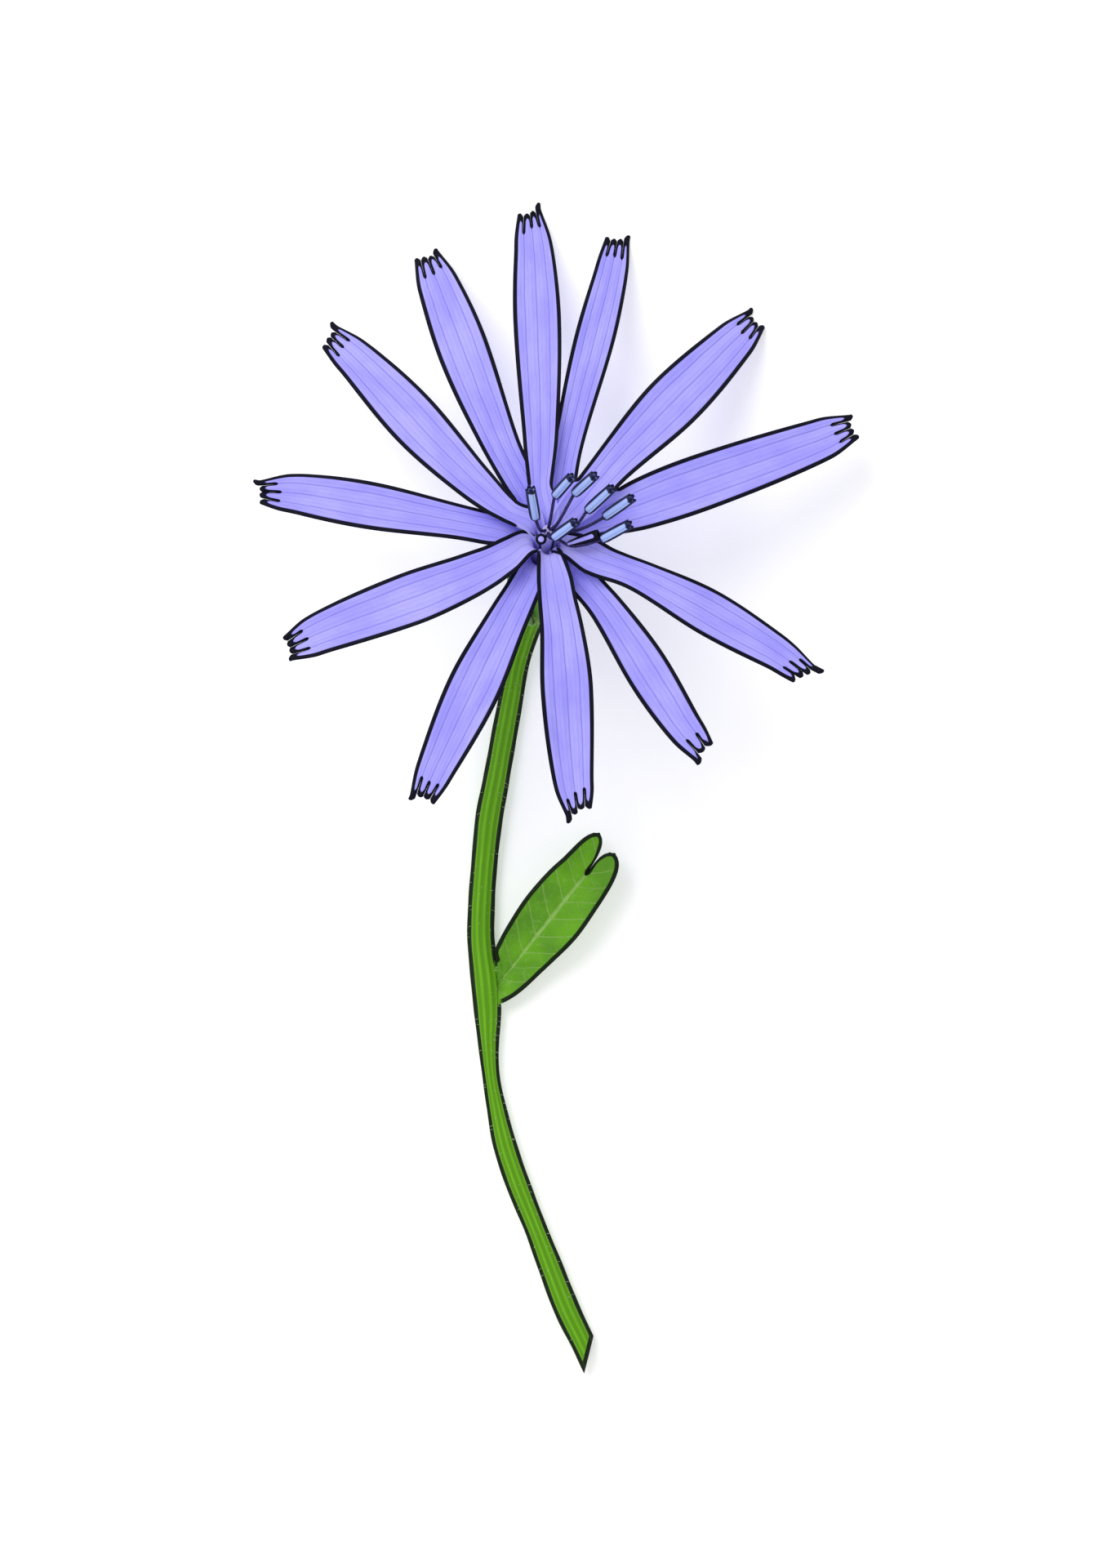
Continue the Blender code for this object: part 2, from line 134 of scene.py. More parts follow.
def smooth_route(points, steps):
    """Points on a Catmull-Rom curve through the given ones, with so many steps between each pair."""
    points = [Vector(point) for point in points]
    ends = [2 * points[0] - points[1], *points, 2 * points[-1] - points[-2]]
    route = []
    for before, start, end, after in zip(ends, ends[1:], ends[2:], ends[3:]):
        for step in range(steps):
            t = step / steps
            bend = (2 * before - 5 * start + 4 * end - after) * t**2
            turn = (3 * start - before - 3 * end + after) * t**3
            route.append(0.5 * (2 * start + (end - before) * t + bend + turn))
    route.append(points[-1])
    return route


class Skin:
    """A mesh being made from rings and rows of points.

    Each point carries its grain, which says how far round and along its piece it lies, and its margin, which
    says how far it is from an edge. On the ribbed pieces the margin says how high the rib is there.
    """

    def __init__(self):
        self.mesh = bmesh.new()
        self.grain = self.mesh.verts.layers.float_vector.new("grain")
        self.margin = self.mesh.verts.layers.float.new("margin")

    def point(self, place, grain):
        vertex = self.mesh.verts.new(place * MM)
        vertex[self.grain] = grain
        return vertex

    def join_rings(self, rings):
        """A closed skin over rings of points, with a face across each end."""
        for near, far in zip(rings, rings[1:]):
            for i in range(len(near)):
                self.mesh.faces.new((near[i - 1], near[i], far[i], far[i - 1]))
        self.mesh.faces.new(rings[0])
        self.mesh.faces.new(rings[-1])

    def sweep(self, route, reach, sides, level=False):
        """A tube along a route, as wide as reach(row, angle, along) says. A level one never twists."""
        lengthwise = abs((route[-1] - route[0]).normalized().x) > 0.9
        side = Vector((0.0, 1.0, 0.0)) if lengthwise else Vector((1.0, 0.0, 0.0))
        along = 0.0
        rings = []
        for row, place in enumerate(route):
            ahead = (route[min(row + 1, len(route) - 1)] - route[max(row - 1, 0)]).normalized()
            if level:
                side = UP.cross(ahead)
            side = (side - ahead * side.dot(ahead)).normalized()
            up = ahead.cross(side)
            if row:
                along += (place - route[row - 1]).length
            ring = []
            for i in range(sides):
                angle = math.tau * i / sides
                spoke = side * math.cos(angle) + up * math.sin(angle)
                grain = (math.cos(angle), math.sin(angle), along)
                ring.append(self.point(place + spoke * reach(row, angle, along), grain))
            rings.append(ring)
        self.join_rings(rings)

    def finish_piece(self, name, material):
        """The mesh as a smooth-shaded object of the scene, with its faces turned outwards."""
        bmesh.ops.recalc_face_normals(self.mesh, faces=self.mesh.faces)
        mesh = bpy.data.meshes.new(name)
        self.mesh.to_mesh(mesh)
        self.mesh.free()
        mesh.materials.append(material)
        mesh.shade_smooth()
        mesh.set_sharp_from_angle(angle=math.radians(SHARP_ANGLE))
        piece = bpy.data.objects.new(name, mesh)
        bpy.context.scene.collection.objects.link(piece)
        return piece


class Tone:
    """A socket in a finish's node tree. Arithmetic on it adds Math nodes, and node() any other kind."""

    def __init__(self, tree, socket=None):
        self.tree = tree
        self.socket = socket

    def node(self, kind, settings=None, sockets=None, output=0):
        """A new node, with its settings and with values or other tones at its sockets."""
        made = self.tree.nodes.new(kind)
        for name, value in (settings or {}).items():
            setattr(made, name, value)
        for name, value in (sockets or {}).items():
            if isinstance(value, Tone):
                self.tree.links.new(value.socket, made.inputs[name])
            else:
                made.inputs[name].default_value = value
        return Tone(self.tree, made.outputs[output])

    def maths(self, operation, *values):
        return self.node("ShaderNodeMath", {"operation": operation}, dict(enumerate(values)))

    def __add__(self, other):
        return self.maths("ADD", self, other)

    __radd__ = __add__

    def __sub__(self, other):
        return self.maths("SUBTRACT", self, other)

    def __rsub__(self, other):
        return self.maths("SUBTRACT", other, self)

    def __mul__(self, other):
        return self.maths("MULTIPLY", self, other)

    __rmul__ = __mul__

    def size(self):
        return self.maths("ABSOLUTE", self)

    def from_whole(self):
        """How far the tone is from the nearest whole number."""
        return self.maths("PINGPONG", self, 0.5)

    def from_to(self, low, high):
        """A smooth step from 0 at low to 1 at high."""
        ends = {"Value": self, "From Min": low, "From Max": high}
        return self.node("ShaderNodeMapRange", {"interpolation_type": "SMOOTHSTEP"}, ends)

    def mix(self, first, second):
        """The first colour where this tone is 0 and the second where it is 1."""
        return self.node("ShaderNodeMix", {"data_type": "RGBA"}, {0: self, 6: first, 7: second}, 2)

    def grain(self):
        """The three parts of the grain that the mesh carries, and the margin."""
        whole = self.node("ShaderNodeAttribute", {"attribute_name": "grain"}, output="Vector")
        parts = [self.node("ShaderNodeSeparateXYZ", sockets={0: whole}, output=axis) for axis in "XYZ"]
        return [*parts, self.node("ShaderNodeAttribute", {"attribute_name": "margin"}, output="Fac")]

    def place(self):
        """Where a point is in its piece, for patterns that run through the tissue."""
        return self.node("ShaderNodeTexCoord", output="Object")

    def vector(self, x, y, z):
        return self.node("ShaderNodeCombineXYZ", sockets={"X": x, "Y": y, "Z": z})

    def cloud(self, place, scale, detail=2.0):
        """Soft noise from 0 to 1 at a place."""
        return self.node("ShaderNodeTexNoise", sockets={"Vector": place, "Scale": scale, "Detail": detail})


def new_finish(name):
    """A material for one of the flower's tissues, and the tone from which its pattern is started."""
    material = bpy.data.materials.new(name)
    material.use_nodes = True
    return material, Tone(material.node_tree)


def set_finish(material, colour, roughness, relief, relief_depth, specular=0.5):
    """Join colour, roughness and relief to the shader. The relief is a bump so many millimetres deep."""
    tree = material.node_tree
    shader = tree.nodes["Principled BSDF"]
    tree.links.new(colour.socket, shader.inputs["Base Color"])
    tree.links.new(roughness.socket, shader.inputs["Roughness"])
    bump = Tone(tree).node("ShaderNodeBump", sockets={"Height": relief, "Distance": relief_depth * MM})
    tree.links.new(bump.socket, shader.inputs["Normal"])
    shader.inputs["Specular IOR Level"].default_value = specular


STEM_GREEN = (0.136, 0.39, 0.011, 1.0)
STEM_GROOVE = (0.095, 0.285, 0.007, 1.0)
STEM_RIB = (0.178, 0.465, 0.019, 1.0)
STEM_DARK = (0.006, 0.016, 0.003, 1.0)
PITH_PALE = (0.62, 0.74, 0.38, 1.0)
PITH_GREEN = (0.36, 0.55, 0.16, 1.0)

stem_skin, tone = new_finish("stem_skin")
around_x, around_y, along, rib = tone.grain()
lengthwise = tone.cloud(tone.vector(around_x * 6.0, around_y * 6.0, along * 0.35), 1.0, 4.0)
blotches = tone.cloud(tone.vector(around_x, around_y, along * 0.5), 0.8)
fine_cells = tone.cloud(tone.vector(around_x * 22.0, around_y * 22.0, along * 3.0), 1.0)
green = rib.from_to(-0.6, 1.0).mix(STEM_GROOVE, STEM_GREEN)
green = (rib.from_to(0.35, 1.0) * lengthwise.from_to(0.3, 0.7) * 0.8).mix(green, STEM_RIB)
green = (blotches.from_to(0.5, 0.8) * 0.35).mix(green, STEM_GROOVE)
green = rib.from_to(1.2, 1.8).mix(green, STEM_DARK)
relief = fine_cells + 0.6 * lengthwise
set_finish(stem_skin, green, 0.42 + 0.2 * fine_cells, relief, 0.02, specular=0.12)

pith, tone = new_finish("pith")
place = tone.place()
cells = tone.node("ShaderNodeTexVoronoi", sockets={"Vector": place, "Scale": 9000.0})
soft = tone.cloud(place, 2500.0)
set_finish(pith, cells.from_to(0.0, 0.7).mix(PITH_PALE, PITH_GREEN), 0.5 + 0.3 * soft, cells, 0.03)

top = Vector((*head_point(0.0, 0.0, STALK_TOP_HEIGHT), STALK_TOP_DIAMETER))
stops = smooth_route([top, *STALK_ROUTE], STALK_STEPS)


def smooth_step(low, high, value):
    """A smooth step from 0 at low to 1 at high."""
    share = min(max((value - low) / (high - low), 0.0), 1.0)
    return share * share * (3.0 - 2.0 * share)


def stalk_side(angle, y):
    """How much of a keel there is at an angle round the stalk, and how dark it is there, from 0 to 1."""
    free = 1.0
    if math.cos(angle) > 0.0:
        free = smooth_step(*LEAF_SEAT_TOP, y) + smooth_step(*LEAF_SEAT_FOOT, y)
    from_side = math.asin(min(abs(math.sin(angle)), 1.0))
    keel = math.exp(-((from_side / KEEL_SPREAD) ** 2))
    spread = FLANK_ABOVE if math.sin(angle) > 0.0 else FLANK_BELOW
    dark = 1.0 - smooth_step(spread - FLANK_FADE, spread + FLANK_FADE, from_side)
    return free * keel, free * dark


def stalk_reach(row, angle, along):
    """The stalk's radius, with its ribs, its keels and a little unevenness."""
    wander = sum(share * math.sin(gain * along + turns * angle) for share, gain, turns in STALK_WAVES)
    ribbed = 1.0 - STALK_RIB_DEPTH + STALK_RIB_DEPTH * math.cos(STALK_RIBS * angle) + wander
    return (stops[row].w / 2 - KEEL_HEIGHT / 2) * ribbed + KEEL_HEIGHT * stalk_side(angle, stops[row].y)[0]


skin = Skin()
skin.sweep([stop.to_3d() for stop in stops], stalk_reach, STALK_SIDES, level=True)
for vertex in skin.mesh.verts:
    grain = vertex[skin.grain]
    angle = math.atan2(grain.y, grain.x)
    dark = stalk_side(angle, vertex.co.y / MM)[1]
    vertex[skin.margin] = math.cos(STALK_RIBS * angle) + FLANK_MARK * dark
cut_normal = plan_direction(STALK_CUT_AZIMUTH - 90.0).to_3d()
for dried, cleared in ((CUT_DRIED + CUT_FADE, False), (CUT_DRIED, False), (0.0, True)):
    cut = bmesh.ops.bisect_plane(
        skin.mesh,
        geom=skin.mesh.verts[:] + skin.mesh.edges[:] + skin.mesh.faces[:],
        plane_co=(STALK_CUT - cut_normal * dried) * MM,
        plane_no=cut_normal,
        clear_outer=cleared,
    )
for vertex in skin.mesh.verts:
    if (STALK_CUT - vertex.co / MM).dot(cut_normal) < CUT_DRIED + CUT_FADE / 2:
        vertex[skin.margin] = CUT_MARK
rim = [edge for edge in cut["geom_cut"] if isinstance(edge, bmesh.types.BMEdge)]
cut_face = bmesh.ops.contextual_create(skin.mesh, geom=rim)["faces"]
bmesh.ops.recalc_face_normals(skin.mesh, faces=skin.mesh.faces)
for share, sunk in ((PITH_SHARE, 0.0), (PITH_FLOOR_SHARE, PITH_SINK)):
    cut_face = bmesh.ops.extrude_discrete_faces(skin.mesh, faces=cut_face)["faces"]
    middle = cut_face[0].calc_center_median()
    for vertex in cut_face[0].verts:
        vertex.co = middle + (vertex.co - middle) * share - cut_normal * (sunk * MM)
for face in bmesh.ops.poke(skin.mesh, faces=cut_face)["faces"]:
    face.material_index = 1
stalk = skin.finish_piece("stalk", stem_skin)
stalk.data.materials.append(pith)
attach(stalk, "root")
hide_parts("stem")

# The hairs of the stalk
# Short stiff white hairs, thinly set along the stem and a little thicker towards the head. Each is one thin
# tapering cell that grew out of the skin.

HAIR_COUNT = 420
HAIR_LENGTHS = (0.18, 0.42)
HAIR_RADII = (0.014, 0.0098, 0.0021)
HAIR_LEAN = 0.35
HAIR_SLANT = 0.3
HAIR_CROWDING = 1.3
FLOOR_CLEARANCE = 0.03
CUT_CLEARANCE = 0.4

# Share of the stalk's radius at which the hairs are rooted
HAIR_ROOT = 0.86

HAIR_GREEN = (0.4, 0.55, 0.2, 1.0)
HAIR_PALE = (0.62, 0.72, 0.45, 1.0)

hair_skin, tone = new_finish("hair_skin")
place = tone.place()
green = tone.cloud(place, 900.0).from_to(0.3, 0.7).mix(HAIR_GREEN, HAIR_PALE)
relief = tone.cloud(place, 4000.0)
set_finish(hair_skin, green, 0.4 + 0.2 * tone.cloud(place, 2000.0), relief, 0.005)


def add_hair(skin, root, direction, length, draw):
    """One tapering hair that leans over a little. A hair that would reach the table is left out."""
    lean = Vector([draw.uniform(-1, 1) for axis in range(3)]) * HAIR_LEAN
    middle = root + direction * length * 0.5
    tip = root + (direction + lean).normalized() * length
    if min(middle.z, tip.z) >= FLOOR_CLEARANCE:
        skin.sweep([root, middle, tip], lambda row, angle, along: HAIR_RADII[row], 3)


draw = random.Random(7)
skin = Skin()
for i in range(HAIR_COUNT):
    row = min(int(len(stops) * draw.random() ** HAIR_CROWDING), len(stops) - 2)
    stop = stops[row]
    ahead = (stops[row + 1] - stop).to_3d().normalized()
    angle = draw.uniform(0.0, math.tau)
    side = ahead.cross(UP).normalized()
    outwards = side * math.cos(angle) + side.cross(ahead) * math.sin(angle)
    root = stop.to_3d() + outwards * stop.w / 2 * HAIR_ROOT
    direction = (outwards + ahead * HAIR_SLANT).normalized()
    if (root - STALK_CUT).dot(cut_normal) < -CUT_CLEARANCE:
        add_hair(skin, root, direction, draw.uniform(*HAIR_LENGTHS), draw)
stalk_hairs = skin.finish_piece("stalk_hairs", hair_skin)
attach(stalk_hairs, "root")

# The leaf
# One short stalkless leaf whose base runs down the side of the stem. Its tip is split into two round lobes.
# It is thin green tissue with a pale midrib and looping side veins, and grew from the node of the stem.

# Plan position, height and width along the midrib, from inside the stem to past the lobes' tips
LEAF_MIDRIB = (
    (-4.5, -13.6, 0.98, 2.3),
    (-3.85, -13.25, 1.1, 2.9),
    (-2.95, -12.25, 1.4, 3.3),
    (-1.8, -10.75, 1.9, 3.93),
    (-0.39, -9.0, 2.35, 4.42),
    (0.95, -7.29, 2.45, 4.24),
    (2.09, -5.91, 2.3, 3.8),
    (3.15, -4.35, 2.0, 3.3),
    (4.15, -2.75, 1.65, 3.05),
)
LEAF_BASE_AZIMUTH = 99.6
LEAF_STEPS = 8
LEAF_NOTCH_STOP = 6.0
LEAF_STOP_LENGTH = 1.89
LEAF_LOBE_LENGTHS = (2.15, 2.75)
LEAF_COLUMNS = 14
LEAF_BODY_ROWS = 64
LEAF_LOBE_ROWS = 14
LEAF_THICKNESS = 0.3
LEAF_EDGE_ROUNDING = 0.16
LEAF_WIDTH = 4.2
LEAF_CHANNEL_DEPTH = 0.45
LEAF_QUILT_HEIGHT = 0.045
LEAF_RIPPLE_HEIGHT = 0.1
LEAF_KEEL_DEPTH = 0.12
LEAF_KEEL_SHARE = 1 / 7
LEAF_VEIN_SPACING = 1.25
LEAF_VEIN_SWEEP = 1.5
LOBE_ROUNDNESS = 3.4
LOBE_TIP_SHARE = 0.14
LOBE_TIP_ARCH = 0.1

# Stops over which the rows turn from along the stem to across the midrib, and over which the ripples come in
LEAF_TURN_STOPS = (0.8, 2.4)
LEAF_RIPPLE_STOPS = (1.5, 3.0)

# Places on each edge of a sheet that margins are measured to, and how near points become one
EDGE_PLACES = 4
WELD = 0.0002


def thicken(skin, thickness, rounding):
    """Close an open sheet into a blade with rounded edges, and note how far each point is from the edge."""
    sheet = skin.mesh
    rim = [edge for edge in sheet.edges if edge.is_boundary]
    tree = kdtree.KDTree(len(rim) * EDGE_PLACES)
    for i, edge in enumerate(rim):
        start, end = (vertex.co for vertex in edge.verts)
        for step in range(EDGE_PLACES):
            tree.insert(start.lerp(end, step / EDGE_PLACES), i * EDGE_PLACES + step)
    tree.balance()
    bmesh.ops.recalc_face_normals(sheet, faces=sheet.faces)
    sheet.normal_update()
    upper = list(sheet.verts)
    normals = [vertex.normal.copy() for vertex in upper]
    for vertex in upper:
        vertex[skin.margin] = tree.find(vertex.co)[2] / MM
    copied = bmesh.ops.duplicate(sheet, geom=list(sheet.faces))
    lower = [copied["vert_map"][vertex] for vertex in upper]
    lower_faces = [item for item in copied["geom"] if isinstance(item, bmesh.types.BMFace)]
    bmesh.ops.reverse_faces(sheet, faces=lower_faces)
    for top, bottom, normal in zip(upper, lower, normals):
        inside = min(top[skin.margin] / rounding, 1.0)
        rise = normal * (thickness / 2 * math.sqrt(1.0 - (1.0 - inside) ** 2) * MM)
        top.co += rise
        bottom.co -= rise
    bmesh.ops.remove_doubles(sheet, verts=sheet.verts, dist=WELD * MM)


def lay_rows(skin, lines):
    """Faces between lines of points that each hold the same number."""
    for near, far in zip(lines, lines[1:]):
        for i in range(len(near) - 1):
            skin.mesh.faces.new((near[i], near[i + 1], far[i + 1], far[i]))


def lay_sheet(skin, on_body, on_lobe, lobes, columns, body_rows, lobe_rows):
    """An open sheet that ends in lobes. Its two functions give the place and the grain of a point."""
    count = lobes * columns
    lines = []
    for row in range(body_rows + 1):
        line = [on_body(row / body_rows, 2.0 * i / count - 1.0) for i in range(count + 1)]
        lines.append([skin.point(*spot) for spot in line])
    lay_rows(skin, lines)
    for lobe in range(lobes):
        lobe_grid = [lines[-1][lobe * columns : (lobe + 1) * columns + 1]]
        for row in range(1, lobe_rows + 1):
            line = [on_lobe(lobe, row / lobe_rows, 2.0 * i / columns - 1.0) for i in range(columns + 1)]
            lobe_grid.append([skin.point(*spot) for spot in line])
        lay_rows(skin, lobe_grid)


LEAF_GREEN = (0.131, 0.385, 0.011, 1.0)
LEAF_DEEP = (0.088, 0.268, 0.016, 1.0)
LEAF_VEIN = (0.3, 0.52, 0.13, 1.0)

leaf_skin, tone = new_finish("leaf_skin")
across, along, sweep_back, margin = tone.grain()
place = tone.place()
wobble = (tone.cloud(place, 600.0) - 0.5) * 0.2
side_vein = 1.0 - (sweep_back + wobble).from_whole().from_to(0.0, 0.09)
midrib = 1.0 - across.size().from_to(0.04, 0.11)
net = tone.node("ShaderNodeTexVoronoi", {"feature": "DISTANCE_TO_EDGE"}, {"Vector": place, "Scale": 2200.0})
mesh_vein = 1.0 - net.from_to(0.0, 0.07)
pores = tone.cloud(place, 5200.0, 3.0)
green = tone.cloud(place, 380.0, 3.0).from_to(0.3, 0.7).mix(LEAF_DEEP, LEAF_GREEN)
green = (mesh_vein * 0.22).mix(green, LEAF_VEIN)
green = (side_vein * 0.5).mix(green, LEAF_VEIN)
green = (midrib * 0.85).mix(green, LEAF_VEIN)
green = ((1.0 - margin.from_to(0.23, 0.3)) * along.from_to(1.5, 2.0)).mix(green, STEM_DARK)
relief = 0.5 * pores - 0.5 * mesh_vein - side_vein
set_finish(leaf_skin, green, 0.4 + 0.25 * pores, relief, 0.03, specular=0.12)

leaf_line = smooth_route(LEAF_MIDRIB, LEAF_STEPS)


def on_leaf(stop, across):
    """A place so many stops along the midrib, and across it from -1 at the right to 1 at the left."""
    row = min(int(stop * LEAF_STEPS), len(leaf_line) - 2)
    here = leaf_line[row].lerp(leaf_line[row + 1], stop * LEAF_STEPS - row)
    ahead = (leaf_line[min(row + 3, len(leaf_line) - 1)] - leaf_line[max(row - 2, 0)]).xy.normalized()
    along_stem = plan_direction(LEAF_BASE_AZIMUTH)
    left = along_stem.lerp(Vector((-ahead.y, ahead.x)), smooth_step(*LEAF_TURN_STOPS, stop)).normalized()
    plan = here.xy + left * (across * here.w / 2)
    along = stop * LEAF_STOP_LENGTH
    veins = (along - abs(across) * LEAF_VEIN_SWEEP) / LEAF_VEIN_SPACING
    channel = LEAF_CHANNEL_DEPTH * across * across * here.w / LEAF_WIDTH
    puffed = min(abs(across) * 4.0, 1.0) * (1.0 - across**4)
    quilt = -LEAF_QUILT_HEIGHT * math.cos(math.tau * veins) * puffed
    waved = across**2 * smooth_step(*LEAF_RIPPLE_STOPS, stop)
    ripple = LEAF_RIPPLE_HEIGHT * math.sin(along * 1.1 + 0.8 * across) * waved
    keel = -LEAF_KEEL_DEPTH * max(1.0 - abs(across) / LEAF_KEEL_SHARE, 0.0)
    return Vector((*plan, here.z + channel + quilt + ripple + keel)), (across, along, veins)


def leaf_body(share, across):
    return on_leaf(share * LEAF_NOTCH_STOP, across)


def leaf_lobe(lobe, share, across):
    """A round lobe. Its edge along the notch stays close to the other lobe's until near the tip."""
    narrow = max((1.0 - share**LOBE_ROUNDNESS) ** 0.5, LOBE_TIP_SHARE)
    spread = lobe - 0.5 + across * 0.5 * narrow
    length = LEAF_LOBE_LENGTHS[lobe] * share - LOBE_TIP_ARCH * across * across * share**3
    return on_leaf(LEAF_NOTCH_STOP + length / LEAF_STOP_LENGTH, spread)


skin = Skin()
lay_sheet(skin, leaf_body, leaf_lobe, len(LEAF_LOBE_LENGTHS), LEAF_COLUMNS, LEAF_BODY_ROWS, LEAF_LOBE_ROWS)
thicken(skin, LEAF_THICKNESS, LEAF_EDGE_ROUNDING)
leaf = skin.finish_piece("leaf_blade", leaf_skin)
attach(leaf, "root")
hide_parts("leaf")

# The involucre
# The green cup behind the head that holds the feet of the florets. It is a fleshy receptacle on the end of
# the stalk, with eight narrow bracts grown edge to edge round it and five broader ones that stand off it.

# From the edge of the cup's foot up its wall and over its lip to the floor of its bowl: radius and height
CUP_WALL = ((0.9, -9.5), (1.3, -9.1), (1.5, -8.2), (1.6, -6.6), (1.65, -4.6), (2.15, -2.8), (2.3, -0.75))
CUP_BOWL = ((2.15, -0.65), (2.05, -1.2), (2.0, -2.3))
CUP_SIDES = 64
CUP_STEPS = 4
BRACT_COLUMNS = 16
BRACT_STEPS = 6
BRACT_ROWS = 40
BRACT_TIP_ROWS = 10
BRACT_THICKNESS = 0.26
BRACT_EDGE_ROUNDING = 0.12
BRACT_KEEL = 0.14
BRACT_HOLLOW = 0.05
BRACT_TIP_POWER = 1.4
BRACT_TIP_SHARE = 0.08
BRACT_TIP_ARCH = 0.06
BRACT_PATTERN_STEP = 3.7

# Height, distance from the axis and width along a bract
INNER_STATIONS = (
    (-9.35, 1.05, 0.85),
    (-8.6, 1.5, 1.2),
    (-7.4, 1.78, 1.42),
    (-5.8, 1.86, 1.5),
    (-4.4, 1.9, 1.55),
    (-2.9, 2.32, 1.85),
    (-1.8, 2.42, 1.6),
    (-0.9, 2.52, 1.15),
)
OUTER_STATIONS = (
    (-9.4, 1.1, 1.0),
    (-8.8, 1.65, 1.6),
    (-7.9, 2.05, 1.95),
    (-7.0, 2.16, 2.0),
    (-6.3, 2.2, 1.75),
    (-5.6, 2.26, 1.4),
)

# A ring of like bracts, which lie off the cup by the lifts in turn. The tip is a height and a distance.
BractRing = namedtuple("BractRing", "name count turn lifts stations tip")
INNER_BRACTS = BractRing("inner_bracts", 8, 0.0, (0.0, 0.1), INNER_STATIONS, (-0.2, 2.7))
OUTER_BRACTS = BractRing("outer_bracts", 5, 11.0, (0.05, 0.12), OUTER_STATIONS, (-4.6, 2.55))

BRACT_DEEP = (0.07, 0.22, 0.016, 1.0)
BRACT_GREEN = (0.105, 0.29, 0.028, 1.0)
BRACT_PALE = (0.3, 0.47, 0.14, 1.0)

bract_skin, tone = new_finish("bract_skin")
across, along, number, margin = tone.grain()
streaks = tone.cloud(tone.vector(across * 9.0, along * 0.7, number), 1.0, 3.0)
keel = 1.0 - across.size().from_to(0.05, 0.25)
green = streaks.from_to(0.35, 0.75).mix(BRACT_DEEP, BRACT_GREEN)
green = (keel * 0.45).mix(green, BRACT_PALE)
green = ((1.0 - along.from_to(0.5, 2.6)) * 0.6).mix(green, BRACT_PALE)
green = ((1.0 - margin.from_to(0.05, 0.13)) * 0.6).mix(green, STEM_DARK)
relief = streaks + 0.5 * tone.cloud(tone.place(), 5000.0)
set_finish(bract_skin, green, 0.5 + 0.2 * streaks, relief, 0.025, specular=0.25)


def add_bract(skin, ring, azimuth, number, lift):
    """A pointed scale that lies against the cup, with a low keel down its back."""
    stops = smooth_route(ring.stations, BRACT_STEPS)
    last = len(stops) - 1.001

    def scale_point(spot, across, narrow=1.0):
        row = int(spot)
        height, distance, width = stops[row].lerp(stops[row + 1], spot - row)
        turn = math.degrees(across * narrow * width / 2 / distance)
        rise = BRACT_KEEL * (1.0 - abs(across)) ** 2 + lift - BRACT_HOLLOW * across * across
        along = height - ring.stations[0][0]
        return head_point(azimuth + turn, distance + rise, height), (across, along, number)

    def scale_body(share, across):
        return scale_point(share * last, across)

    def scale_tip(lobe, share, across):
        place, grain = scale_point(last, across, max(1.0 - share**BRACT_TIP_POWER, BRACT_TIP_SHARE))
        end = head_point(azimuth, ring.tip[1] + lift, ring.tip[0])
        start = head_point(azimuth, stops[-1].y + lift, stops[-1].x)
        return place + (end - start) * share * (1.0 - BRACT_TIP_ARCH * across * across), grain

    lay_sheet(skin, scale_body, scale_tip, 1, BRACT_COLUMNS, BRACT_ROWS, BRACT_TIP_ROWS)


def bract_piece(ring):
    """A ring of bracts as one piece."""
    skin = Skin()
    for i in range(ring.count):
        scale = Skin()
        azimuth = ring.turn + i * 360.0 / ring.count
        add_bract(scale, ring, azimuth, i * BRACT_PATTERN_STEP, ring.lifts[i % len(ring.lifts)])
        thicken(scale, BRACT_THICKNESS, BRACT_EDGE_ROUNDING)
        made = bpy.data.meshes.new("scale")
        scale.mesh.to_mesh(made)
        scale.mesh.free()
        skin.mesh.from_mesh(made)
        bpy.data.meshes.remove(made)
    return skin.finish_piece(ring.name, bract_skin)


def turned_rings(skin, profile, sides, axis):
    """Rings of points round an axis, one for each (radius, height) of a profile off that axis."""
    rings = []
    for radius, height in profile:
        ring = []
        for i in range(sides):
            angle = math.tau * i / sides
            place = axis @ Vector((radius * math.cos(angle), radius * math.sin(angle), height))
            ring.append(skin.point(place, (math.cos(angle), math.sin(angle), height)))
        rings.append(ring)
    return rings


skin = Skin()
wall = smooth_route(CUP_WALL + CUP_BOWL, CUP_STEPS)
skin.join_rings(turned_rings(skin, wall, CUP_SIDES, HEAD))
for vertex in skin.mesh.verts:
    vertex[skin.margin] = 1.0
cup = skin.finish_piece("receptacle", bract_skin)
for piece in (cup, bract_piece(INNER_BRACTS), bract_piece(OUTER_BRACTS)):
    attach(piece, "root")
    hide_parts("involucre")

# The glandular hairs of the bracts
# Stiff hairs that stand off the keels and the edges of the bracts, as on every chicory head. They grew out
# of the bracts' skin as those of the stalk did.

BRACT_HAIRS = 26
BRACT_HAIR_LENGTHS = (0.2, 0.45)
BRACT_HAIR_STRETCH = (0.1, 0.98)

# What the hairs are aimed at, seen from their roots: turned sideways at an edge, further out and higher
HAIR_AIM_TURN = 25.0
HAIR_AIM_DISTANCE = 1.0
HAIR_AIM_HEIGHT = 0.4

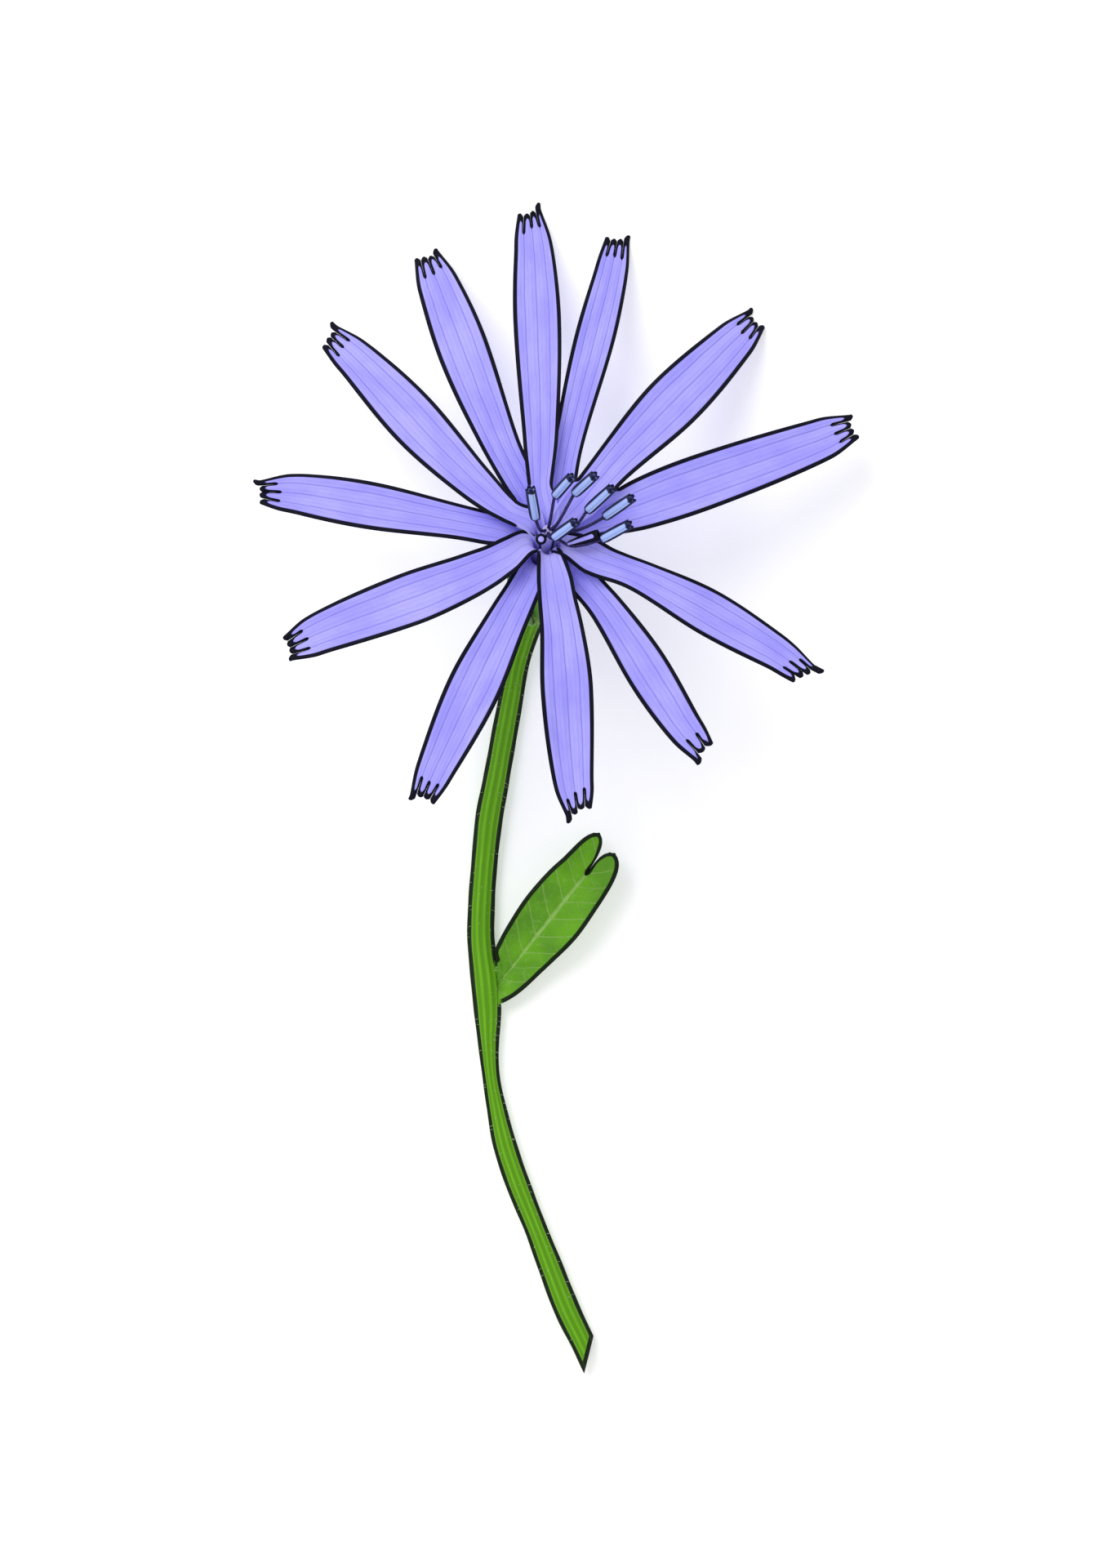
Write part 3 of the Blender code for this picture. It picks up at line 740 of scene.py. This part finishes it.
skin = Skin()
for ring in (INNER_BRACTS, OUTER_BRACTS):
    stops = smooth_route(ring.stations, BRACT_STEPS)
    for i in range(ring.count * BRACT_HAIRS):
        height, distance, width = stops[int(draw.uniform(*BRACT_HAIR_STRETCH) * len(stops))]
        across = draw.choice((-1.0, 0.0, 0.0, 1.0))
        azimuth = ring.turn + i // BRACT_HAIRS * 360.0 / ring.count
        azimuth += math.degrees(across * width / 2 / distance)
        stand = BRACT_KEEL + 0.1 if across == 0.0 else 0.0
        root = head_point(azimuth, distance + stand, height)
        turned = azimuth + HAIR_AIM_TURN * across
        aim = head_point(turned, distance + HAIR_AIM_DISTANCE, height + HAIR_AIM_HEIGHT)
        add_hair(skin, root, (aim - root).normalized(), draw.uniform(*BRACT_HAIR_LENGTHS), draw)
bract_hairs = skin.finish_piece("bract_hairs", hair_skin)
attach(bract_hairs, "root")

# The ray florets
# Twelve strap-shaped florets. Each is one thin violet petal, rolled into a tube at its foot in the involucre
# and open above, with pleats along its veins and a toothed end. The inner six pass over the outer six.

# One ray floret in plan. Bows are to the left of the line from the heart to the tip, seen outwards. The
# slant is how much shorter its left side is. A start width of 0 stands for its whorl's own.
RAY_SIZES = "azimuth length base_width width widest shoulder_width end_width slant near_bow far_bow droop"
Ray = namedtuple("Ray", RAY_SIZES + " teeth start_width start_bow", defaults=(4, 0.0, 0.0))

# Clockwise from the top. Every other one belongs to the inner whorl, the first included.
RAYS = (
    Ray(93.3, 22.35, 2.26, 3.12, 0.66, 2.45, 1.42, 0.7, 0.1, -0.14, 3.4, 4, 1.5, 0.45),
    Ray(77.1, 20.95, 1.96, 2.62, 0.66, 2.15, 1.52, 0.45, 0.16, -0.08, 3.2),
    Ray(46.9, 20.55, 2.56, 3.77, 0.61, 2.75, 1.52, -0.35, 0.3, 0.08, 4.3),
    Ray(20.4, 21.95, 3.36, 3.72, 0.52, 2.8, 1.62, -0.1, 0.06, -0.07, 2.4),
    Ray(-27.7, 19.65, 2.06, 3.02, 0.6, 2.25, 1.62, -1.5, 0.67, 0.42, 2.0),
    Ray(-54.0, 17.75, 2.16, 2.97, 0.62, 2.35, 1.62, 0.6, 0.42, -0.05, 1.4, 3),
    Ray(-83.8, 18.55, 2.76, 3.42, 0.55, 2.55, 1.62, 0.85, 0.24, -0.1, 2.4),
    Ray(-115.9, 19.45, 2.66, 3.52, 0.58, 2.45, 1.62, 0.45, -0.15, -0.1, 2.8),
    Ray(-157.2, 18.95, 2.96, 3.52, 0.54, 2.65, 1.62, -0.2, 0.2, -0.12, 1.8),
    Ray(170.6, 19.75, 2.26, 3.12, 0.63, 2.5, 1.42, 0.7, -0.2, -0.28, 2.2),
    Ray(137.0, 20.25, 2.46, 3.52, 0.6, 2.55, 1.62, 0.75, 0.56, -0.03, 3.0, 4, 1.6, 0.45),
    Ray(113.2, 20.95, 2.36, 3.42, 0.66, 2.75, 1.62, 0.1, 0.43, 0.08, 5.3),
)
HEART = Vector((-0.5, 16.45))

# The florets' face leans a little more to the right than the head's axis
LEAN = plan_direction(73.0)
FACE_SLOPE = math.tan(math.radians(LEAN_TILT))

# Distance from the axis, height above the mouth, width and the angle that the petal is rolled through
OUTER_CLAW = ((1.75, -2.1, 1.0, 5.6), (1.65, -0.8, 1.2, 4.2), (1.75, 0.2, 1.6, 2.6), (2.3, 0.7, 2.0, 1.9))
INNER_CLAW = ((1.05, -2.1, 0.72, 5.6), (1.05, 0.2, 0.85, 4.2), (1.2, 1.0, 1.2, 2.8), (1.75, 1.5, 1.75, 2.1))
OUTER_CREST = 0.75
INNER_CREST = 1.85
INNER_DESCENT = (8.5, 15.0)
DROOP_START = 4.0
DROOP_POWER = 1.8

# Shares of the floret's length, and the width, the roll and the bows there
LIMB_START = 0.16
LIMB_BEND = 0.26
LIMB_BASE = 0.3
SHOULDER = 0.9
OUTER_START_WIDTH = 2.1
INNER_START_WIDTH = 2.3
ROLLS = ((0.16, 1.8), (0.26, 1.2), (0.4, 0.9), (0.7, 0.7), (1.0, 0.5))
BOW_SHARES = (0.1, 0.35, 0.85, 1.0)

# The slits and the teeth between them. The outermost teeth reach further than the others.
SLIT_DEPTH = 1.35
SLIT_UNEVENNESS = 0.12
TOOTH_TAPER = 0.03
TOOTH_TAPER_POWER = 1.3
TOOTH_ROUND = 0.14
TOOTH_LEAN = 0.35
TOOTH_LIFTS = (-0.04, 0.25)
TOOTH_UNEVENNESS = 0.1
EDGE_TOOTH_REACH = 0.1
MIDDLE_TOOTH_STEP = 0.12

# How far the thin blade's rim stands out past the solid's middle line, on each side
RIM = 0.05
PETAL_THICKNESS = 0.2
PETAL_EDGE_ROUNDING = 0.09
PETAL_COLUMNS = 9
CLAW_STEPS = 7
CLAW_STATION_LENGTH = 0.8
LIMB_ROWS = 90
TOOTH_ROWS = 12
PETAL_PATTERN_STEP = 5.0

# The blade comes no closer to the table than this, and settles gently
REST_HEIGHT = 0.13
REST_SOFTNESS = 0.02

# Distances from the heart over which the section turns upright, the pleats come in and the ripples do
UPRIGHT_STRETCH = (2.5, 4.5)
PLEAT_STRETCH = (2.5, 6.0)
RIPPLE_STRETCH = (5.0, 10.0)
PLEAT = 0.028
RIPPLE = 0.07
RIPPLE_WAVES = 0.9
TWIST = 0.16

# The dark margin is this many times narrower along the slits. That starts so many teeth in from the petal's
# own edge and ends so near the tip.
SLIT_MARGIN = 1.9
SLIT_MARGIN_START = (0.35, 0.65)
SLIT_MARGIN_END = (0.4, 0.8)

# How far from the heart the dark margin starts, on each floret's left edge and on the right edge of the one
# before it. Nearer the heart the margin is raised out of the dark.
MARGIN_STARTS = (3.8, 3.7, 4.3, 5.6, 2.2, 1.6, 1.7, 2.1, 1.8, 1.6, 3.0, 2.9)
MARGIN_TAPER = (-0.6, 0.1)
MARGIN_RAISE = 0.4

PETAL_VIOLET = (0.35, 0.319, 0.963, 1.0)
PETAL_VEIN = (0.24, 0.21, 0.78, 1.0)
PETAL_PALE = (0.426, 0.399, 0.983, 1.0)
# The pale of a petal's foot, made paler still as painted light that lifts the shade in the throat
PETAL_THROAT_PALE_AND_PAINTED_LIGHT = (0.58, 0.55, 1.0, 1.0)
PETAL_MARGIN = (0.003, 0.003, 0.012, 1.0)

petal_skin, tone = new_finish("petal_skin")
veins, along, number, margin = tone.grain()
drift = tone.cloud(tone.vector(veins * 0.6, along * 0.25, number), 1.0)
wander = (tone.cloud(tone.vector(veins * 0.5, along * 0.35, number + 9.0), 1.0, 1.0) - 0.5) * 0.16
main_vein = 1.0 - (veins + wander).from_whole().from_to(0.012, 0.07)
side_vein = 1.0 - (veins * 3.0 + wander * 2.0).from_whole().from_to(0.02, 0.16)
cells = tone.cloud(tone.vector(veins * 14.0, along * 1.6, number), 1.0, 3.0)
beads = tone.cloud(tone.vector(veins * 26.0, along * 14.0, number), 1.0, 1.0)
opened = along.from_to(2.0, 6.0)
violet = drift.from_to(0.3, 0.7).mix(PETAL_VIOLET, PETAL_PALE)
violet = (cells.from_to(0.4, 0.8) * 0.25).mix(violet, PETAL_VEIN)
violet = (side_vein * opened * 0.22).mix(violet, PETAL_VEIN)
violet = (main_vein * opened * 0.6).mix(violet, PETAL_VEIN)
# Paler towards the heart: partly the real pale foot of a chicory petal, partly painted light that lifts the
# shade deep in the throat
violet = (0.85 * (1.0 - along.from_to(0.8, 3.4))).mix(violet, PETAL_THROAT_PALE_AND_PAINTED_LIGHT)
violet = (1.0 - margin.from_to(0.26, 0.32)).mix(violet, PETAL_MARGIN)
relief = 0.5 * cells + 0.35 * beads - main_vein - 0.4 * side_vein
set_finish(petal_skin, violet, 0.5 + 0.2 * cells, relief, 0.02, specular=0.1)


def smooth_curve(knots, at):
    """The value at a place on a smooth curve through (place, value) knots."""
    slopes = []
    for i in range(len(knots)):
        before = knots[max(i - 1, 0)]
        after = knots[min(i + 1, len(knots) - 1)]
        slopes.append((after[1] - before[1]) / (after[0] - before[0]))
    i = 0
    while i < len(knots) - 2 and at > knots[i + 1][0]:
        i += 1
    (x0, y0), (x1, y1) = knots[i], knots[i + 1]
    span = x1 - x0
    t = (at - x0) / span
    value = y0 * (1 + 2 * t) * (1 - t) ** 2 + y1 * t * t * (3 - 2 * t)
    return value + span * t * (1 - t) * (slopes[i] * (1 - t) - slopes[i + 1] * t)


def ray_floret(name, ray, number, inner, margin_starts, draw):
    """A rolled claw out of the mouth, then a long pleated limb that splits into teeth."""
    outwards = plan_direction(ray.azimuth)
    left = Vector((-outwards.y, outwards.x))
    crosswise = Vector((*left, -FACE_SLOPE * left.dot(LEAN)))
    widths = (
        (LIMB_START, ray.start_width or (INNER_START_WIDTH if inner else OUTER_START_WIDTH)),
        (LIMB_BASE, ray.base_width),
        (ray.widest, ray.width),
        (SHOULDER, ray.shoulder_width),
        (1.0, ray.end_width),
    )
    bows = tuple(zip(BOW_SHARES, (ray.start_bow, ray.near_bow, ray.far_bow, 0.0)))
    phase = draw.uniform(0.0, 6.28)
    twist = draw.uniform(-TWIST, TWIST)
    tooth_lifts = [draw.uniform(*TOOTH_LIFTS) for tooth in range(ray.teeth)]
    tooth_steps = [draw.uniform(-TOOTH_UNEVENNESS, TOOTH_UNEVENNESS) for tooth in range(ray.teeth)]

    def spine(distance):
        """Place, width and roll of the limb where its middle line has reached a distance from the heart."""
        share = min(distance / ray.length, 1.0)
        plan = HEART + outwards * distance + left * smooth_curve(bows, share)
        drop = max(distance - DROOP_START, 0.0) / (ray.length - DROOP_START)
        crest = OUTER_CREST
        if inner:
            crest = INNER_CREST + (OUTER_CREST - INNER_CREST) * smooth_step(*INNER_DESCENT, distance)
        face_height = MOUTH.z - FACE_SLOPE * (plan - MOUTH.xy).dot(LEAN)
        height = face_height + crest - ray.droop * drop**DROOP_POWER
        width = smooth_curve(widths, share) + 2.0 * RIM
        return Vector((*plan, height, width, smooth_curve(ROLLS, share)))

    def blade_point(stop, ahead, along, across, veins):
        """A point of the petal's cross-section, an arc that opens as the roll gets smaller."""
        width, roll = stop[3], stop[4]
        radius = width / 2 / (math.sin(roll / 2) if roll < math.pi else 1.0)
        turn = across * roll / 2
        normal = ahead.cross(crosswise).normalized()
        lift = normal.lerp(UP, smooth_step(*UPRIGHT_STRETCH, along))
        place = stop.xyz + crosswise * (radius * math.sin(turn)) + lift * (radius * (1.0 - math.cos(turn)))
        pleat = -PLEAT * math.cos(math.tau * veins) * (1.0 - across**6)
        ripple = RIPPLE * across * across * math.sin(RIPPLE_WAVES * along + phase + across)
        swing = across * width / 2 * twist * math.sin(math.pi * min(along / ray.length, 1.0))
        sway = UP * ((ripple + swing) * smooth_step(*RIPPLE_STRETCH, along))
        place += normal * (pleat * smooth_step(*PLEAT_STRETCH, along)) + sway
        over = place.z - REST_HEIGHT
        place.z = REST_HEIGHT + (over + math.sqrt(over * over + REST_SOFTNESS)) / 2
        return place, (veins, along, number)

    def on_limb(distance, across, veins):
        ahead = (spine(distance + 0.05) - spine(distance - 0.05)).xyz.normalized()
        return blade_point(spine(distance), ahead, distance, across, veins)

    def root_distance(across):
        """Where the slits end, at a place across the petal."""
        uneven = SLIT_UNEVENNESS * math.sin(4.0 * across + phase)
        return ray.length - ray.slant * across / 2 - SLIT_DEPTH + uneven

    start = LIMB_START * ray.length
    claw_stops = INNER_CLAW if inner else OUTER_CLAW
    stations = [Vector((*head_point(ray.azimuth, *stop[:2]), *stop[2:])) for stop in claw_stops]
    claw = smooth_route([*stations, spine(start), spine(LIMB_BEND * ray.length)], CLAW_STEPS)
    claw = claw[: len(stations) * CLAW_STEPS]
    rows = len(claw) + LIMB_ROWS

    def floret_body(share, across):
        row = round(share * rows)
        veins = (across + 1.0) / 2.0 * ray.teeth
        if row < len(claw):
            ahead = (claw[row + 1] if row + 1 < len(claw) else spine(start)) - claw[max(row - 1, 0)]
            along = start - (len(claw) - row) * CLAW_STATION_LENGTH / CLAW_STEPS
            return blade_point(claw[row], ahead.xyz.normalized(), along, across, veins)
        distance = start + (root_distance(across) - start) * (row - len(claw)) / LIMB_ROWS
        return on_limb(distance, across, veins)

    def tooth(lobe, share, across):
        """A tooth narrows to a blunt point. The outermost ones keep the petal's own outer edge."""
        half = 1.0 / ray.teeth
        narrow = half * (1.0 - TOOTH_TAPER * share**TOOTH_TAPER_POWER)
        middle = half * (2 * lobe + 1) - 1.0
        side = (lobe == ray.teeth - 1) - (lobe == 0)
        spread = middle + side * (half - narrow) + across * narrow
        step = -EDGE_TOOTH_REACH if side else MIDDLE_TOOTH_STEP + tooth_steps[lobe]
        end = ray.length - ray.slant * (middle + side * half * 0.8) / 2 - step
        root = root_distance(middle + across * half)
        distance = root + (end - root) * share - TOOTH_ROUND * (across - TOOTH_LEAN * side) ** 2 * share**2
        place, grain = on_limb(distance, spread, lobe + (across + 1.0) / 2.0)
        place.z += tooth_lifts[lobe] * share * share
        return place, grain

    skin = Skin()
    lay_sheet(skin, floret_body, tooth, ray.teeth, PETAL_COLUMNS, rows, TOOTH_ROWS)
    thicken(skin, PETAL_THICKNESS, PETAL_EDGE_ROUNDING)
    for vertex in skin.mesh.verts:
        veins, along = vertex[skin.grain].xy
        margin_start = margin_starts[0] if veins > ray.teeth / 2 else margin_starts[1]
        to_tip = ray.length - ray.slant * (veins / ray.teeth - 0.5) - along
        between = smooth_step(*SLIT_MARGIN_START, min(veins, ray.teeth - veins))
        between *= smooth_step(*SLIT_MARGIN_END, to_tip)
        vertex[skin.margin] *= 1.0 + (SLIT_MARGIN - 1.0) * between
        vertex[skin.margin] += MARGIN_RAISE * (1.0 - smooth_step(*MARGIN_TAPER, along - margin_start))
    return skin.finish_piece(name, petal_skin)


for i, ray in enumerate(RAYS):
    node = f"ray_floret_{i + 1:02d}"
    margin_starts = (MARGIN_STARTS[i], MARGIN_STARTS[(i + 1) % len(RAYS)])
    petal = ray_floret(f"petal_{i + 1:02d}", ray, i * PETAL_PATTERN_STEP, i % 2 == 0, margin_starts, draw)
    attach(petal, "root")
    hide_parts(node)

# The anther tubes
# Each is five anthers grown together into a ribbed tube, open at the top with five small points. It is light
# blue along its back and dark along its flanks. Seven show, each on the style that pushed up through it.

# The foot and the tip of each tube, and where its style bends on the way from the hub to the foot
ANTHERS = (
    ((-1.35, 17.75, 16.0), (-1.7, 19.8, 17.9), (-1.05, 17.05, 15.3)),
    ((-0.1, 19.3, 15.9), (1.05, 20.6, 17.5), (-0.35, 17.9, 15.5)),
    ((1.2, 19.45, 16.2), (2.6, 20.7, 17.9), (0.1, 17.5, 15.6)),
    ((2.05, 18.3, 15.9), (3.75, 19.85, 17.7), (1.1, 17.2, 15.4)),
    ((3.2, 17.9, 15.4), (5.1, 19.2, 17.0), (1.4, 17.05, 15.2)),
    ((3.0, 16.4, 15.3), (4.95, 17.45, 16.6), (1.0, 16.0, 15.0)),
    ((-0.2, 16.5, 15.4), (1.3, 17.6, 16.9), (-0.45, 16.6, 15.1)),
)
ANTHER_RADIUS = 0.38
ANTHER_RIBS = 5
ANTHER_RIB_SHARES = (0.93, 0.09)
ANTHER_SIDES = 40
ANTHER_POINT = 0.2
ANTHER_POINT_LEVEL = 0.8
ANTHER_BORE = 0.68
ANTHER_BORE_DEPTH = 0.6

# Share of the radius, share of the length, and how much of the points there is
ANTHER_WALL = ((0.5, 0.0, 0.0), (0.85, 0.05, 0.0), (1.0, 0.18, 0.0), (1.02, 0.4, 0.0), (1.0, 0.65, 0.0))
ANTHER_MOUTH = ((0.96, 0.85, 0.15), (0.94, 0.93, 0.5), (0.92, 1.0, 1.0), (0.8, 1.0, 0.95), (0.72, 0.9, 0.3))

ANTHER_BLUE = (0.37, 0.49, 0.98, 1.0)
ANTHER_PALE = (0.44, 0.57, 1.0, 1.0)
ANTHER_SEAM = (0.1, 0.17, 0.55, 1.0)
ANTHER_FLANK = (0.012, 0.014, 0.06, 1.0)

anther_skin, tone = new_finish("anther_skin")
around_x, around_y, along, seam = tone.grain()
grains = tone.cloud(tone.vector(around_x * 9.0, around_y * 9.0, along * 6.0), 1.0, 3.0)
blue = grains.from_to(0.3, 0.75).mix(ANTHER_BLUE, ANTHER_PALE)
blue = ((1.0 - seam.from_to(0.0, 0.3)) * 0.5).mix(blue, ANTHER_SEAM)
flank = around_x.size().from_to(0.5, 0.68) * around_y.from_to(-0.35, -0.15)
blue = flank.mix(blue, ANTHER_FLANK)
blue = along.from_to(0.9, 0.95).mix(blue, ANTHER_FLANK)
blue = (1.0 - along.from_to(0.07, 0.12)).mix(blue, ANTHER_FLANK)
set_finish(anther_skin, blue, 0.45 + 0.2 * grains, grains + seam, 0.03, specular=0.2)


def axis_frame(foot, tip):
    """A frame with its origin at the foot and its own z axis towards the tip."""
    return Matrix.Translation(foot) @ (tip - foot).to_track_quat("Z", "Y").to_matrix().to_4x4()


def anther_tube(skin, foot, tip):
    """A ribbed tube with a rounded foot, five points round its mouth and a bore down from it."""
    length = (tip - foot).length
    axis = axis_frame(foot, tip)
    rib_foot, rib_height = ANTHER_RIB_SHARES
    bore = (ANTHER_BORE, 1.0 - ANTHER_BORE_DEPTH / length, 0.0)
    rings = []
    for wide, high, pointed in (*ANTHER_WALL, *ANTHER_MOUTH, bore):
        ring = []
        for i in range(ANTHER_SIDES):
            angle = math.tau * i / ANTHER_SIDES
            bulge = abs(math.cos(ANTHER_RIBS * angle / 2.0))
            reach = ANTHER_RADIUS * wide * (rib_foot + rib_height * bulge)
            height = length * high + ANTHER_POINT * pointed * (bulge - ANTHER_POINT_LEVEL)
            place = axis @ Vector((reach * math.cos(angle), reach * math.sin(angle), height))
            vertex = skin.point(place, (math.cos(angle), math.sin(angle), high))
            vertex[skin.margin] = bulge
            ring.append(vertex)
        rings.append(ring)
    skin.join_rings(rings)


skin = Skin()
for foot, tip, bend in ANTHERS:
    anther_tube(skin, Vector(foot), Vector(tip))
anther_tubes = skin.finish_piece("anther_tubes", anther_skin)
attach(anther_tubes, "root")
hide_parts("stamens")

# The styles
# Thin dark violet stalks that leave a small round hub in the middle of the head and carry the anther tubes.
# One tube among them is violet and slimmer, and one style is still a short knob.

HUB_PROFILE = ((0.3, -2.1), (0.34, 0.0), (0.36, 1.6), (0.4, 2.3), (0.36, 2.6), (0.2, 2.78), (0.05, 2.82))
HUB_TOP = 2.5
HUB_SIDES = 20

STYLE_RADIUS = 0.11
STYLE_SIDES = 10
STYLE_STEPS = 6
STYLE_ROOT_DEPTH = 0.5
STYLE_IN_TUBE = 0.3

# The style's own end in the mouth of its tube: distances back from the tip, and radii
STYLE_END = ((ANTHER_BORE_DEPTH, 0.13), (0.2, 0.13), (-0.02, 0.06))

SLIM_TUBE = (Vector((0.75, 16.1, 14.9)), Vector((2.85, 16.8, 15.6)))
SLIM_RADIUS = 0.34
SLIM_WALL = ((0.3, 0.0), (0.55, 0.06), (0.75, 0.3), (0.9, 0.6), (1.0, 0.84), (1.0, 0.92))
SLIM_MOUTH = ((0.95, 1.0), (0.7, 1.0), (0.6, 0.8))
KNOB_STALK = (Vector((-0.4, 16.8, 14.7)), Vector((-0.75, 16.6, 14.95)), Vector((-1.0, 16.45, 15.05)))
KNOB_RADIUS = 0.38
KNOB_RINGS = 16
ROUND_SIDES = 24

# Margins of the knob's top and the slim tube's back, which stay violet, and where the tube's tip darkens
KNOB_MARGIN = 0.6
SLIM_MARGIN = 0.5
SLIM_DARK_END = (0.85, 0.95)

# The hub takes the pale of a petal's throat, partly painted light that lifts the shade in the heart; the
# knob and the slim tube are as violet as a petal this far out
OPEN_PETAL = 4.0

STYLE_DARK = (0.015, 0.01, 0.06, 1.0)
STYLE_INDIGO = (0.04, 0.03, 0.15, 1.0)

style_skin, tone = new_finish("style_skin")
place = tone.place()
fuzz = tone.cloud(place, 5000.0, 3.0)
indigo = fuzz.from_to(0.3, 0.7).mix(STYLE_DARK, STYLE_INDIGO)
set_finish(style_skin, indigo, 0.45 + 0.25 * fuzz, fuzz, 0.02, specular=0.2)

skin = Skin()
hub_axis = [head_point(0.0, 0.0, HUB_TOP - STYLE_ROOT_DEPTH), head_point(0.0, 0.0, HUB_TOP)]
for anther in ANTHERS:
    foot, tip, bend = (Vector(place) for place in anther)
    axis = (tip - foot).normalized()
    route = smooth_route([*hub_axis, bend, foot, foot + axis * STYLE_IN_TUBE], STYLE_STEPS)
    skin.sweep(route, lambda row, angle, along: STYLE_RADIUS, STYLE_SIDES)
    end = [tip - axis * depth for depth, radius in STYLE_END]
    skin.sweep(end, lambda row, angle, along: STYLE_END[row][1], STYLE_SIDES)
skin.sweep(KNOB_STALK, lambda row, angle, along: STYLE_RADIUS, STYLE_SIDES)
styles = skin.finish_piece("styles", style_skin)

skin = Skin()
skin.join_rings(turned_rings(skin, HUB_PROFILE, HUB_SIDES, HEAD))
column = set(skin.mesh.verts)
for vertex in column:
    vertex[skin.margin] = 1.0
turns = [math.pi * (i + 0.5) / KNOB_RINGS for i in range(KNOB_RINGS)]
ball = [(KNOB_RADIUS * math.sin(turn), -KNOB_RADIUS * math.cos(turn)) for turn in turns]
rings = turned_rings(skin, ball, ROUND_SIDES, Matrix.Translation(KNOB_STALK[-1]))
for ring, turn in zip(rings, turns):
    for vertex in ring:
        vertex[skin.margin] = KNOB_MARGIN * (1.0 - math.sin(turn))
skin.join_rings(rings)
foot, tip = SLIM_TUBE
outline = SLIM_WALL + SLIM_MOUTH
slim = [(SLIM_RADIUS * wide, (tip - foot).length * high) for wide, high in outline]
rings = turned_rings(skin, slim, ROUND_SIDES, axis_frame(foot, tip))
for ring, (wide, high) in zip(rings, outline):
    for vertex in ring:
        dark = max(abs(vertex[skin.grain].x), smooth_step(*SLIM_DARK_END, high))
        vertex[skin.margin] = SLIM_MARGIN * (1.0 - dark)
skin.join_rings(rings)
# The hub column gets the throat's pale colour, partly painted light against the shade in the heart
for vertex in skin.mesh.verts:
    x, y, z = vertex[skin.grain]
    vertex[skin.grain] = (0.5 + 0.25 * x, 0.3 * y + (0.0 if vertex in column else OPEN_PETAL), z)
hub = skin.finish_piece("hub", petal_skin)
for piece in (styles, hub):
    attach(piece, "root")
    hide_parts("stamens")

# The stage
# A plain white table that glows a little, so that the shadows stay pale, in soft light from all round and
# from one large lamp. The camera looks straight down from far off.

PICTURE_PIXEL = 0.055
PICTURE_HEIGHT = 1920
CAMERA_LENS = 800.0
CAMERA_NUDGE = 0.07
CAMERA_SENSOR = 36.0
CAMERA_DISTANCE = PICTURE_HEIGHT * PICTURE_PIXEL * CAMERA_LENS / CAMERA_SENSOR
TABLE_SIZE = 6000.0
LAMP_PLACE = Vector((-260.0, 320.0, 620.0))
LAMP_SIZE = 420.0
LAMP_POWER = 2.6
STUDIO_LIGHT = 0.72

table_finish = new_finish("table_white")[0]
for name, value in (
    ("Base Color", (0.8, 0.8, 0.8, 1.0)),
    ("Roughness", 0.9),
    ("Specular IOR Level", 0.1),
    ("Emission Color", (1.0, 1.0, 1.0, 1.0)),
    ("Emission Strength", 0.36),
):
    table_finish.node_tree.nodes["Principled BSDF"].inputs[name].default_value = value
bpy.ops.mesh.primitive_plane_add(size=TABLE_SIZE * MM)
table = bpy.context.object
table.name = "table"
table.data.materials.append(table_finish)

scene = bpy.context.scene
scene.world = bpy.data.worlds.new("studio")
scene.world.use_nodes = True
background = scene.world.node_tree.nodes["Background"].inputs
background["Color"].default_value = (1.0, 1.0, 1.0, 1.0)
background["Strength"].default_value = STUDIO_LIGHT

lamp_data = bpy.data.lights.new("lamp", "AREA")
lamp_data.shape = "DISK"
lamp_data.size = LAMP_SIZE * MM
lamp_data.energy = LAMP_POWER
lamp = bpy.data.objects.new("lamp", lamp_data)
lamp.location = LAMP_PLACE * MM
lamp.rotation_euler = (-LAMP_PLACE).to_track_quat("-Z", "Y").to_euler()
scene.collection.objects.link(lamp)

camera_data = bpy.data.cameras.new("camera")
camera_data.lens = CAMERA_LENS
camera_data.sensor_width = CAMERA_SENSOR
camera_data.clip_start = 0.1
camera_data.clip_end = 20.0
camera = bpy.data.objects.new("camera", camera_data)
camera.location = (0.0, CAMERA_NUDGE * MM, CAMERA_DISTANCE * MM)
scene.collection.objects.link(camera)
scene.camera = camera
scene.view_settings.view_transform = "Standard"
